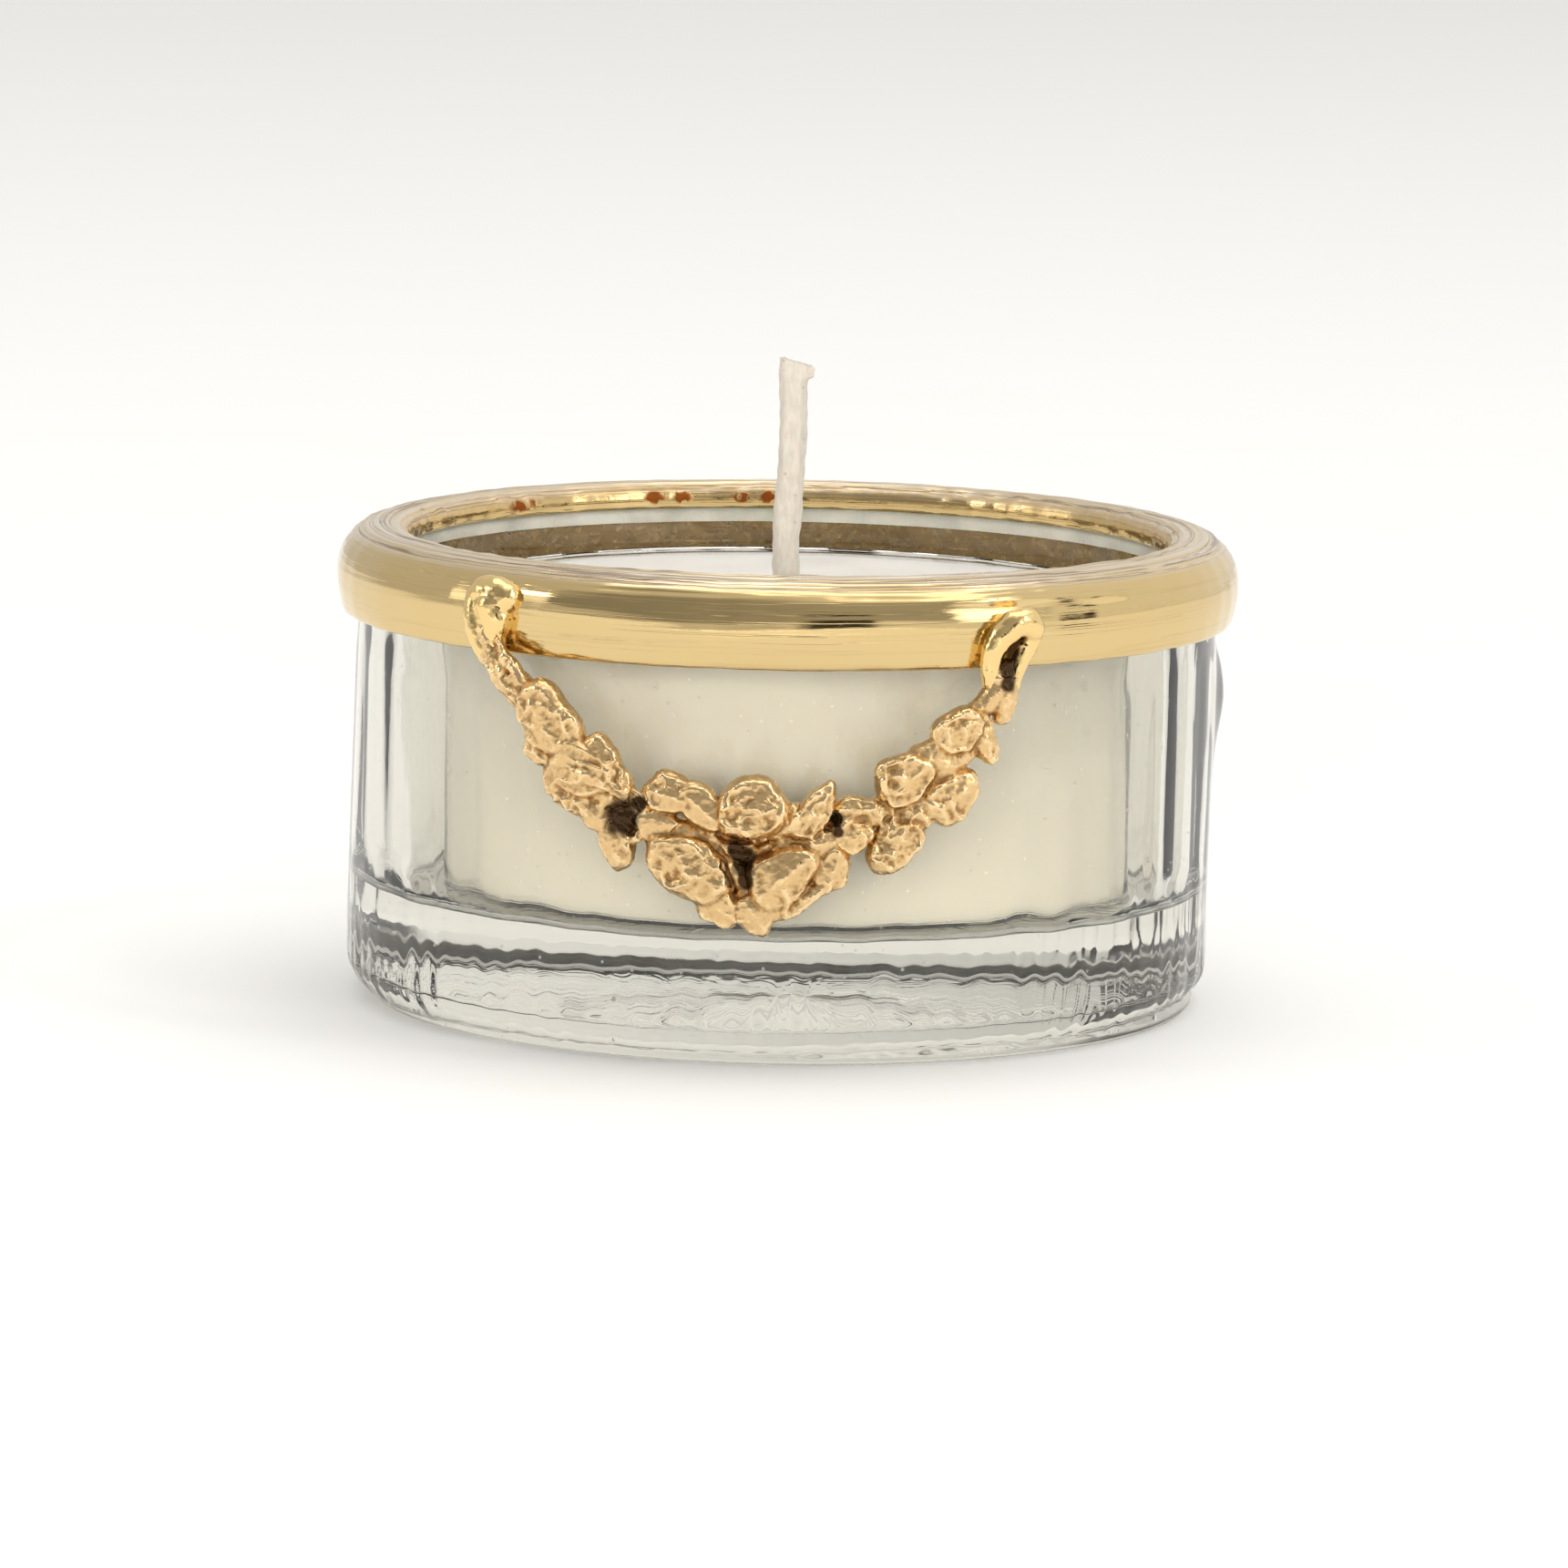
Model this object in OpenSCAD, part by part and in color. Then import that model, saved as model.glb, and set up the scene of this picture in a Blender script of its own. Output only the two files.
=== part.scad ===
// Tealight holder: a heavy clear glass cup with a cast brass collar on its rim.
// A leafy garland hangs from two lugs on the collar, and a tealight stands in the well.
// Millimetres, +Z up, the origin under the middle of the foot, the garland facing -Y.

/* [Glass cup] */
// Radius of the cup just under the rim
cup_r = 23.8; // [23.4:0.1:23.9]
// How much wider the cup is at its foot
cup_flare = 0.2; // [0:0.05:0.4]
// Height of the cup with its rounded rim
cup_h = 25.2; // [24.8:0.1:26]
// Radius of the well that holds the tealight
well_r = 21.3; // [20.8:0.1:21.6]
// Thickness of the solid base under the well
base_h = 6.5; // [5.5:0.1:6.9]

/* [Collar] */
// Radius of the collar at its fullest
collar_r = 25; // [24.8:0.1:25.2]
// Radius of the opening inside the collar's lip
mouth_r = 21; // [20.5:0.1:21.1]
// Height of the collar
collar_h = 4.9; // [4.5:0.1:5.5]
// Thickness of the lip that rests on the rim
lip_h = 1.2; // [1:0.1:1.4]
// Free space between the collar's skirt and the glass
collar_gap = 0.1; // [0.05:0.05:0.2]

/* [Garland] */
// Radius of the curved sheet that the castings follow
garland_r = 25.6; // [25.5:0.1:26]
// Thickness of a leaf through its middle
leaf_h = 1.7; // [1.4:0.1:1.8]
// Thickness of the vine behind the leaves
vine_d = 1; // [0.8:0.1:1.2]

/* [Tealight] */
// Radius of the tealight's clear cup
light_r = 19.3; // [18.8:0.1:19.6]
// Height of the tealight's clear cup
light_h = 16.2; // [15.5:0.1:16.5]
// Wall of the tealight's clear cup
light_wall = 0.35; // [0.3:0.05:0.5]
// Wick diameter
wick_d = 1.5; // [1.2:0.1:1.6]
// Length of wick that stands above the wax
wick_free = 13.1; // [8:0.1:14]

/* [Hidden] */
$fn = 96;

cup_rim_r = (cup_r - well_r) / 2;
cup_foot_round = 1.8;
cup_well_round = 1.5;
punt_r = 19.5;
punt_h = 0.7;
arc_step = 15;

rim_gap = 0.02;
collar_top = cup_h + rim_gap + lip_h;
collar_foot = collar_top - collar_h;
skirt_r = cup_r + collar_gap;
collar_foot_r = 24.6;

wax_foot = base_h + 0.4;
wax_top = base_h + light_h - 0.3;
wax_r = light_r - light_wall;
light_round = 0.8;
tab_r = 6.25;
tab_h = 0.3;
neck_r = 1.3;
neck_h = 4;
wick_top = wax_top + wick_free;

leaf_fn = 16;
leaf_tip = 0.5;

// Each leaf: angle round the cup in degrees, height of its middle, length, width, lean in degrees.
left_leaves = [
    [-29.0, 21.6, 2.6, 1.1, -50],
    [-28.1, 19.7, 2.2, 1.8, -47],
    [-24.0, 18.6, 4.6, 2.8, -50],
    [-22.4, 19.2, 5.0, 1.0, -43],
    [-18.6, 15.9, 4.8, 3.0, -15],
    [-15.6, 16.4, 4.2, 1.1, -44],
    [-20.6, 14.6, 4.0, 2.0, -44],
    [-15.0, 12.2, 2.9, 1.9, -77]
];
centre_leaves = [
    [-7.0, 14.6, 5.0, 2.4, -25],
    [-9.7, 13.3, 2.2, 1.8, 10],
    [1.3, 14.4, 3.9, 3.2, 2],
    [8.5, 14.1, 3.7, 1.8, 58],
    [-5.9, 11.0, 5.2, 3.0, -30],
    [4.9, 10.8, 4.3, 3.0, 42],
    [-2.4, 9.1, 2.4, 2.0, -38],
    [1.9, 8.7, 2.2, 1.9, -60],
    [10.6, 11.1, 2.5, 1.9, 68],
    [5.8, 9.5, 3.8, 1.3, 32],
    [-3.2, 14.2, 2.6, 1.9, -50],
    [4.9, 13.9, 2.6, 1.8, 40],
    [0.8, 12.1, 5.4, 2.6, 4],
    [9.2, 12.4, 2.8, 1.8, 20]
];
right_leaves = [
    [13.2, 14.3, 2.2, 1.2, 9],
    [12.9, 13.0, 2.2, 1.8, 9],
    [18.5, 12.8, 4.2, 2.5, 61],
    [18.9, 16.0, 3.4, 2.6, 32],
    [24.7, 14.9, 3.2, 2.7, 40],
    [24.6, 16.8, 3.2, 1.9, -24],
    [25.5, 18.5, 2.8, 2.3, 38],
    [28.6, 18.0, 3.0, 1.4, -73],
    [31.5, 20.2, 2.6, 1.9, -85]
];

// Vines behind the leaves: angle and height of each point.
left_vine = [[-33.6, 22.6], [-31.2, 20.8], [-27.5, 19.4], [-22.5, 17.2], [-17.5, 14.9], [-12.2, 13.9]];
centre_vine = [[-12.4, 14.0], [-6.0, 12.4], [1.5, 11.6], [8.0, 12.2], [12.0, 13.2]];
right_vine = [[11.2, 13.4], [17.0, 14.2], [22.0, 15.8], [27.0, 17.4], [30.2, 19.8], [30.6, 21.6]];

// The solder eye: a round boss with a pocket in its face.
eye_angle = -14.1;
eye_z = 13.6;
eye_r = 1.3;
eye_pocket_r = 0.95;
eye_pocket_h = 0.7;

// Points along an arc, from one angle to another about a centre.
function arc_points(cx, cy, r, from, to) =
    let (steps = ceil(abs(to - from) / arc_step))
    [for (i = [0:steps]) let (a = from + (to - from) * i / steps) [cx + r * cos(a), cy + r * sin(a)]];

// Puts a child on the curved sheet that the garland follows.
module on_sheet(angle, z, r = garland_r) {
    rotate([0, 0, angle]) translate([0, -r, z]) children();
}

// One flattened leaf with a broad middle and blunt points, long axis along X.
module leaf(length, width, thick) {
    flat = thick / width;
    tip = width * leaf_tip;
    hull() {
        translate([-(length - tip) / 2, 0, 0]) scale([1, flat, 1]) sphere(d = tip, $fn = leaf_fn);
        scale([min(1.4, length / width), flat, 1]) sphere(d = width, $fn = leaf_fn);
        translate([(length - tip) / 2, 0, 0]) scale([1, flat, 1]) sphere(d = tip, $fn = leaf_fn);
    }
}

// Every leaf of one spray.
module leaves(rows) {
    for (row = rows)
        on_sheet(row[0], row[1]) rotate([0, -row[4], 0]) leaf(row[2], row[3], leaf_h);
}

// The stem that ties one spray together.
module vine(points, d = vine_d) {
    for (i = [1:len(points) - 1])
        hull() {
            on_sheet(points[i - 1][0], points[i - 1][1]) sphere(d = d, $fn = leaf_fn);
            on_sheet(points[i][0], points[i][1]) sphere(d = d, $fn = leaf_fn);
        }
}

module glass_cup() {
    color([0.86, 0.9, 0.88, 0.4])
        rotate_extrude()
            polygon(concat(
                [[0, punt_h], [punt_r * 0.5, punt_h * 0.75], [punt_r, 0]],
                arc_points(cup_r + cup_flare - cup_foot_round, cup_foot_round, cup_foot_round, -90, 0),
                arc_points(cup_r - cup_rim_r, cup_h - cup_rim_r, cup_rim_r, 0, 180),
                arc_points(well_r - cup_well_round, base_h + cup_well_round, cup_well_round, 0, -90),
                [[0, base_h]]
            ));
}

module brass_collar() {
    color([0.83, 0.66, 0.33])
        rotate_extrude()
            polygon(concat(
                [[skirt_r, collar_foot], [collar_foot_r - 0.3, collar_foot]],
                [[collar_foot_r, collar_foot + 0.25], [collar_r - 0.1, collar_foot + 1.1]],
                [[collar_r, collar_foot + 2], [collar_r, collar_foot + 2.7]],
                arc_points(collar_r - 1.7, collar_top - 1.8, 1.7, 15, 75),
                [[22.6, collar_top]],
                arc_points(mouth_r + 0.6, collar_top - 0.65, 0.6, 100, 180),
                [[mouth_r, cup_h + rim_gap], [skirt_r, cup_h + rim_gap]]
            ));
}

module left_lug() {
    color([0.83, 0.66, 0.33]) {
        hull() {
            on_sheet(-34.6, 24.7, 24.9) sphere(d = 1.8, $fn = leaf_fn);
            on_sheet(-31.4, 24.9, 24.9) sphere(d = 1.6, $fn = leaf_fn);
            on_sheet(-32.0, 23.6, 25.1) sphere(d = 1.4, $fn = leaf_fn);
        }
        hull() {
            on_sheet(-34.9, 24.6, 25.2) sphere(d = 1.5, $fn = leaf_fn);
            on_sheet(-33.6, 22.2, 25.5) sphere(d = 1.4, $fn = leaf_fn);
        }
    }
}

module right_lug() {
    color([0.83, 0.66, 0.33]) {
        hull() {
            on_sheet(30.2, 23.6, 25.1) sphere(d = 1.4, $fn = leaf_fn);
            on_sheet(34.9, 24.0, 25.1) sphere(d = 1.6, $fn = leaf_fn);
        }
        hull() {
            on_sheet(34.9, 24.0, 25.1) sphere(d = 1.6, $fn = leaf_fn);
            on_sheet(34.2, 22.4, 25.1) sphere(d = 1.3, $fn = leaf_fn);
        }
        hull() {
            on_sheet(29.9, 23.4, 25.2) sphere(d = 1.2, $fn = leaf_fn);
            on_sheet(30.4, 21.2, 25.5) sphere(d = 1.1, $fn = leaf_fn);
        }
    }
}

module left_spray() {
    color([0.85, 0.67, 0.42])
        difference() {
            union() {
                vine(left_vine);
                hull() {
                    on_sheet(-33.4, 22.4) sphere(d = 1.5, $fn = leaf_fn);
                    on_sheet(-29.6, 19.8) sphere(d = 1.7, $fn = leaf_fn);
                }
                leaves(left_leaves);
                on_sheet(eye_angle, eye_z) rotate([90, 0, 0]) cylinder(r = eye_r, h = 1.6, center = true, $fn = 32);
            }
            on_sheet(eye_angle, eye_z, garland_r + 0.8) rotate([90, 0, 0])
                cylinder(r = eye_pocket_r, h = 2 * eye_pocket_h, center = true, $fn = 32);
        }
}

module centre_spray() {
    color([0.85, 0.67, 0.42]) {
        vine(centre_vine);
        leaves(centre_leaves);
    }
}

module right_spray() {
    color([0.85, 0.67, 0.42]) {
        vine(right_vine);
        leaves(right_leaves);
    }
}

module tealight_cup() {
    color([0.9, 0.9, 0.9, 0.3])
        rotate_extrude()
            polygon(concat(
                [[0, base_h]],
                arc_points(light_r - light_round, base_h + light_round, light_round, -90, 0),
                [[light_r, base_h + light_h], [wax_r, base_h + light_h]],
                arc_points(wax_r - 0.4, wax_foot + 0.4, 0.4, 0, -90),
                [[0, wax_foot]]
            ));
}

module wax_fill() {
    color([0.95, 0.93, 0.88])
        rotate_extrude()
            polygon(concat(
                [[wick_d / 2, wax_top], [wick_d / 2, wax_foot + tab_h + neck_h]],
                [[neck_r, wax_foot + tab_h + neck_h], [neck_r, wax_foot + tab_h]],
                [[tab_r, wax_foot + tab_h], [tab_r, wax_foot]],
                arc_points(wax_r - 0.4, wax_foot + 0.4, 0.4, -90, 0),
                [[wax_r, wax_top]]
            ));
}

module wick() {
    color([0.93, 0.9, 0.85]) {
        translate([0, 0, wax_foot]) cylinder(d = wick_d, h = wick_top - 1 - wax_foot);
        hull() {
            translate([0, 0, wick_top - 1.2]) cylinder(d = wick_d, h = 0.2);
            translate([-0.3, 0, wick_top - 0.3]) sphere(d = 0.6, $fn = leaf_fn);
            translate([0.9, 0, wick_top - 0.6]) sphere(d = 0.6, $fn = leaf_fn);
        }
    }
}

module wick_sustainer() {
    color([0.75, 0.75, 0.76])
        rotate_extrude()
            polygon([
                [wick_d / 2, wax_foot], [tab_r, wax_foot], [tab_r, wax_foot + tab_h],
                [neck_r, wax_foot + tab_h], [neck_r, wax_foot + tab_h + neck_h],
                [wick_d / 2, wax_foot + tab_h + neck_h]
            ]);
}

glass_cup();
brass_collar();
left_lug();
right_lug();
left_spray();
centre_spray();
right_spray();
tealight_cup();
wax_fill();
wick();
wick_sustainer();
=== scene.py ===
# %% [markdown]
# # A glass tealight holder with a gilt collar and garland
#
# The object is a thick pressed glass cup. A gilt brass collar sits on its rim, a cast garland of
# leaves hangs from the collar on two soldered lugs, and a tealight stands in the well.
#
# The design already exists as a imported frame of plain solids: it holds every size and place.
# This lesson builds the looks round it, one piece at a time. Each piece takes its size from the
# frame, rides on the body it belongs to, and hides the plain solid it stands for.

# %% Load the frame
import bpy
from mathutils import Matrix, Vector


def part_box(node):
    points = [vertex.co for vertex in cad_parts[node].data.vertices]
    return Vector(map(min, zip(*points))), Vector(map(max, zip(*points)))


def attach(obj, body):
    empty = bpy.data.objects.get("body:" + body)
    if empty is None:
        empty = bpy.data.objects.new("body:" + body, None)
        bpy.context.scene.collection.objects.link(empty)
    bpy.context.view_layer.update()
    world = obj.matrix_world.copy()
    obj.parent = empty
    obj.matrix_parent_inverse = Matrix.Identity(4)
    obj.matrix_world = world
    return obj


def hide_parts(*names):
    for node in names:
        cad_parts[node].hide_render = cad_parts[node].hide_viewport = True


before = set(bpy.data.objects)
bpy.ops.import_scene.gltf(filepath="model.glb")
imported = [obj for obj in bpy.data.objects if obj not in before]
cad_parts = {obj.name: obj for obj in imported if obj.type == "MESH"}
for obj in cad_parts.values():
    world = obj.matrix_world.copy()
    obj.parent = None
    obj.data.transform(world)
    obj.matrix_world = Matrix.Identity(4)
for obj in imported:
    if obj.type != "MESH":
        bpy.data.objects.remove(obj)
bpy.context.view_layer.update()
print("nodes:", sorted(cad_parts))

# %% [markdown]
# ## Units and sizes
#
# Blender works in metres and this object is 5 cm wide, so its details are tenths of a millimetre.
# Every piece here is worked out in millimetres, and one function turns the points into metres at
# the end. The driving sizes are read from the frame's boxes, so nothing is measured twice.

# %% Sizes from the frame
import math

import bmesh
import bpy
import numpy as np
from mathutils import Matrix, Vector, noise

MM = 0.001
TURN = 2 * math.pi
NOISE_SEED = 7

# The noise module seeds itself from the clock, so without this line each run would fold the leaves anew.
noise.seed_set(NOISE_SEED)


def box_mm(node):
    """Lowest and highest corner of a frame node, in millimetres."""
    low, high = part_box(node)
    return np.array(low) / MM, np.array(high) / MM


_, cup_high = box_mm("glass_cup")
_, collar_high = box_mm("brass_collar")
_, wax_high = box_mm("wax_fill")
light_low, light_high = box_mm("tealight_cup")
_, wick_high = box_mm("wick")
tin_low, tin_high = box_mm("wick_sustainer")

CUP_R = cup_high[0]
CUP_TOP = cup_high[2]
COLLAR_R = collar_high[0]
LIGHT_R = light_high[0]
LIGHT_FOOT = light_low[2]
LIGHT_TOP = light_high[2]
WAX_TOP = wax_high[2]
WICK_TOP = wick_high[2]
TAB_R = tin_high[0]
TAB_FOOT = tin_low[2]
NECK_TOP = tin_high[2]
print(f"cup radius {CUP_R:.2f} mm, height {CUP_TOP:.2f} mm; collar radius {COLLAR_R:.2f} mm")
print(f"tealight radius {LIGHT_R:.2f} mm, from {LIGHT_FOOT:.2f} to {LIGHT_TOP:.2f} mm")
print(f"wick to {WICK_TOP:.2f} mm")

# %% [markdown]
# ## Camera
#
# A long lens from half a metre away looks slightly down into the cup. The camera stands a few
# degrees to the right of the garland's middle, and leans a degree, as a hand-set tripod does.
# Its rotation is built from three turns: round the object, down, and about its own view axis.

# %% Place the camera
CAMERA_BACK = 468.8
CAMERA_UP = 82.1
CAMERA_ROUND = math.radians(4.82)
CAMERA_DOWN = math.radians(8.53)
CAMERA_LEAN = math.radians(1.04)
LENS = 195.1

camera_data = bpy.data.cameras.new("camera")
camera_data.lens = LENS
camera_data.sensor_width = 36
camera_data.clip_start = 0.01
camera_data.clip_end = 20
camera = bpy.data.objects.new("camera", camera_data)
bpy.context.scene.collection.objects.link(camera)
camera_at = Vector((
    CAMERA_BACK * MM * math.sin(CAMERA_ROUND),
    -CAMERA_BACK * MM * math.cos(CAMERA_ROUND),
    CAMERA_UP * MM,
))
camera_turn = (
    Matrix.Rotation(CAMERA_ROUND, 4, "Z")
    @ Matrix.Rotation(math.pi / 2 - CAMERA_DOWN, 4, "X")
    @ Matrix.Rotation(CAMERA_LEAN, 4, "Z")
)
camera.matrix_world = Matrix.Translation(camera_at) @ camera_turn
bpy.context.scene.camera = camera
print("camera at", [round(v, 3) for v in camera_at])

# %% [markdown]
# ## Small working tools
#
# Three tools make most of the shapes. A *wave field* is a handful of random sine waves: unlike
# ordinary noise it can close on itself after a turn, so it leaves no seam round a cup. *Spin*
# turns an outline into a solid, like a lathe, and lets a wave field push the surface in and out.
# *Bake down* turns lists of points and faces into a smooth-shaded Blender object in metres.

# %% Wave fields
def wave_field(seed, count, turns, along, height):
    """Random sine waves: whole turns round the axis, radians per mm along it, and a typical height in mm."""
    draw = np.random.default_rng(seed)
    return {
        "turns": draw.integers(turns[0], turns[1] + 1, count),
        "along": draw.uniform(-along, along, count),
        "phase": draw.uniform(0, TURN, count),
        "height": height * math.sqrt(2 / count),
    }


def wave_height(field, angle, along):
    """Height of a wave field, in mm, at an angle round the axis and a distance along it."""
    total = 0
    for turns, rise, phase in zip(field["turns"], field["along"], field["phase"]):
        total = total + np.sin(turns * angle + rise * along + phase)
    return total * field["height"]


def ramp(value, start, end):
    """0 before start, 1 after end, and a smooth step between them."""
    t = np.clip((value - start) / (end - start), 0, 1)
    return t * t * (3 - 2 * t)


def mound(angle, along, at_degrees, at_along, wide_degrees, tall):
    """A single soft hump, 1 at its middle, at an angle round the axis."""
    away = (np.degrees(angle) - at_degrees + 180) % 360 - 180
    return np.exp(-((away / wide_degrees) ** 2) - ((along - at_along) / tall) ** 2)


# %% Outlines and solids
def smooth_outline(points, spacing, closed=False):
    """A smooth curve through given points, with new points at an even spacing."""
    points = np.array(points, float)
    if closed:
        padded = np.vstack([points[-1], points, points[0], points[1]])
    else:
        padded = np.vstack([2 * points[0] - points[1], points, 2 * points[-1] - points[-2]])
    steps = np.linspace(0, 1, 24, endpoint=False)[:, None]
    curve = []
    for a, b, c, d in zip(padded, padded[1:], padded[2:], padded[3:]):
        bend = (2 * b, c - a, 2 * a - 5 * b + 4 * c - d, 3 * b - a - 3 * c + d)
        curve.append(0.5 * (bend[0] + bend[1] * steps + bend[2] * steps**2 + bend[3] * steps**3))
    curve = np.vstack(curve + [points[:1] if closed else points[-1:]])
    length = np.append(0, np.cumsum(np.linalg.norm(np.diff(curve, axis=0), axis=1)))
    count = max(8, round(length[-1] / spacing))
    where = np.linspace(0, length[-1], count + 1)
    even = np.column_stack([np.interp(where, length, curve[:, i]) for i in (0, 1)])
    return even[:-1] if closed else even


def bake_down(name, points, faces, material=None):
    """A smooth-shaded object from points in millimetres, with its faces turned outwards."""
    mesh = bpy.data.meshes.new(name)
    mesh.from_pydata(np.asarray(points) * MM, [], faces)
    work = bmesh.new()
    work.from_mesh(mesh)
    bmesh.ops.recalc_face_normals(work, faces=work.faces)
    if work.calc_volume(signed=True) < 0:
        bmesh.ops.reverse_faces(work, faces=work.faces)
    work.to_mesh(mesh)
    work.free()
    mesh.shade_smooth()
    piece = bpy.data.objects.new(name, mesh)
    bpy.context.scene.collection.objects.link(piece)
    if material:
        mesh.materials.append(material)
    return piece


def spin(name, outline, steps, relief=None, closed=False):
    """Turns an outline of (radius, height) round Z. The relief function moves the surface out."""
    slope = np.gradient(np.vstack([outline[-1], outline, outline[0]]), axis=0)[1:-1]
    if not closed:
        slope = np.gradient(outline, axis=0)
    slope /= np.linalg.norm(slope, axis=1)[:, None] + 1e-12
    angle = np.linspace(0, TURN, steps, endpoint=False)[None, :]
    r, z = outline[:, :1], outline[:, 1:]
    out_r, out_z = slope[:, 1:], -slope[:, :1]
    push = relief(angle, r, z, out_r, out_z) if relief else 0 * angle
    r, z = np.maximum(r + push * out_r, 0), z + push * out_z
    points = np.stack([r * np.sin(angle), -r * np.cos(angle), z + 0 * angle], axis=2)
    rows = len(outline)
    number = np.arange(rows * steps).reshape(rows, steps)
    number[outline[:, 0] < 1e-6] = number[outline[:, 0] < 1e-6][:, :1]
    below = number if closed else number[:-1]
    above = np.roll(number, -1, axis=0) if closed else number[1:]
    quads = np.stack([below, np.roll(below, -1, 1), np.roll(above, -1, 1), above], axis=2)
    faces = [tuple(dict.fromkeys(quad)) for quad in quads.reshape(-1, 4).tolist()]
    piece = bake_down(name, points.reshape(-1, 3), faces)
    loose = bmesh.new()
    loose.from_mesh(piece.data)
    bmesh.ops.delete(loose, geom=[v for v in loose.verts if not v.link_faces], context="VERTS")
    loose.to_mesh(piece.data)
    loose.free()
    print(f"{name}: {len(piece.data.polygons)} faces")
    return piece

# %% [markdown]
# ## Studio
#
# Glass and polished metal have almost no colour of their own: they show the room. A small product
# studio has a pale table and backdrop, a big soft light overhead, softboxes at the sides, and a
# darker room in front. The dark room draws the dark lines that make gilt look like metal, so the
# world behind the lights is brighter at the back than in front.

# %% Shader tools
def colour(text):
    """Linear RGBA from a web colour such as "#e0b46a"."""
    parts = [int(text[i:i + 2], 16) / 255 for i in (1, 3, 5)]
    return tuple(c / 12.92 if c <= 0.04045 else ((c + 0.055) / 1.055) ** 2.4 for c in parts) + (1,)


def node(tree, kind, settings=None, **sockets):
    """Adds a shader node. A socket takes a value or another node's output.

    Sockets are named with _ for each space. Those called first and second go by their order.
    """
    made = tree.nodes.new(kind)
    for key, value in (settings or {}).items():
        setattr(made, key, value)
    order = {"first": 0, "second": 1}
    for key, value in sockets.items():
        socket = made.inputs[order[key]] if key in order else made.inputs[key.replace("_", " ")]
        if isinstance(value, bpy.types.NodeSocket):
            tree.links.new(value, socket)
        else:
            socket.default_value = value
    return made


def maths(tree, operation, first, second=0.0, clamp=False):
    """One Math node's output."""
    settings = {"operation": operation, "use_clamp": clamp}
    return node(tree, "ShaderNodeMath", settings, first=first, second=second).outputs[0]


def fade(tree, value, start, end, low=0.0, high=1.0):
    """A smooth step from low to high as value goes from start to end."""
    settings = {"interpolation_type": "SMOOTHSTEP"}
    made = node(tree, "ShaderNodeMapRange", settings, Value=value)
    for name, number in (("From Min", start), ("From Max", end), ("To Min", low), ("To Max", high)):
        made.inputs[name].default_value = number
    return made.outputs["Result"]


def blend_colours(tree, share, low, high):
    """A colour between low and high."""
    made = tree.nodes.new("ShaderNodeMix")
    made.data_type = "RGBA"
    for index, value in ((0, share), (6, low), (7, high)):
        if isinstance(value, bpy.types.NodeSocket):
            tree.links.new(value, made.inputs[index])
        else:
            made.inputs[index].default_value = value
    return made.outputs[2]


# %% World, brighter behind than in front
ROOM_BRIGHT = 0.94
ROOM_DARK = 0.46
LEFT_SHARE = 0.70

world = bpy.data.worlds.new("studio")
world.use_nodes = True
bpy.context.scene.world = world
sky = world.node_tree
heading = node(sky, "ShaderNodeSeparateXYZ", Vector=node(sky, "ShaderNodeTexCoord").outputs["Generated"])
in_front = fade(sky, heading.outputs["Y"], -0.12, -0.50)
near_level = fade(sky, heading.outputs["Z"], 0.96, 0.70)
off_table = fade(sky, heading.outputs["Z"], 0.13, 0.23)
dark_share = maths(sky, "MULTIPLY", maths(sky, "MULTIPLY", in_front, near_level), off_table)
room = fade(sky, dark_share, 0.0, 1.0, ROOM_BRIGHT, ROOM_DARK)
room = maths(sky, "MULTIPLY", room, fade(sky, heading.outputs["X"], -0.7, 0.5, LEFT_SHARE, 1.0))
sky.nodes["Background"].inputs["Color"].default_value = colour("#fffdf9")
sky.links.new(room, sky.nodes["Background"].inputs["Strength"])
print("room strength from", ROOM_DARK, "in front to", ROOM_BRIGHT)


# %% Table
FLOOR_R = 2.5

table_mesh = bpy.data.meshes.new("table_top")
work = bmesh.new()
bmesh.ops.create_circle(work, cap_ends=True, radius=FLOOR_R, segments=96)
work.to_mesh(table_mesh)
work.free()
table_top = bpy.data.objects.new("table_top", table_mesh)
bpy.context.scene.collection.objects.link(table_top)

pale = bpy.data.materials.new("pale_table")
pale.use_nodes = True
tree = pale.node_tree
place = node(tree, "ShaderNodeTexCoord").outputs["Object"]
mottle = node(tree, "ShaderNodeTexNoise", Vector=place, Scale=60.0, Detail=4.0).outputs["Fac"]
tree.links.new(
    blend_colours(tree, mottle, colour("#fafaf9"), colour("#fcfcfc")),
    tree.nodes["Principled BSDF"].inputs["Base Color"],
)
tree.nodes["Principled BSDF"].inputs["Roughness"].default_value = 0.7
tree.nodes["Principled BSDF"].inputs["Specular IOR Level"].default_value = 0.2
table_mesh.materials.append(pale)

# %% Softboxes and the dark card
def softbox(name, at, size, watts, tint="#ffffff", mirrored=True):
    """A rectangular light that faces the cup. One that isn't mirrored lights matt surfaces only."""
    light = bpy.data.lights.new(name, "AREA")
    light.shape = "RECTANGLE"
    light.size, light.size_y = size
    light.energy = watts
    light.color = colour(tint)[:3]
    lamp = bpy.data.objects.new(name, light)
    lamp.location = at
    lamp.rotation_mode = "QUATERNION"
    lamp.rotation_quaternion = (-Vector(at)).to_track_quat("-Z", "Y")
    lamp.visible_glossy = mirrored
    lamp.visible_transmission = mirrored
    bpy.context.scene.collection.objects.link(lamp)
    return lamp


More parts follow.
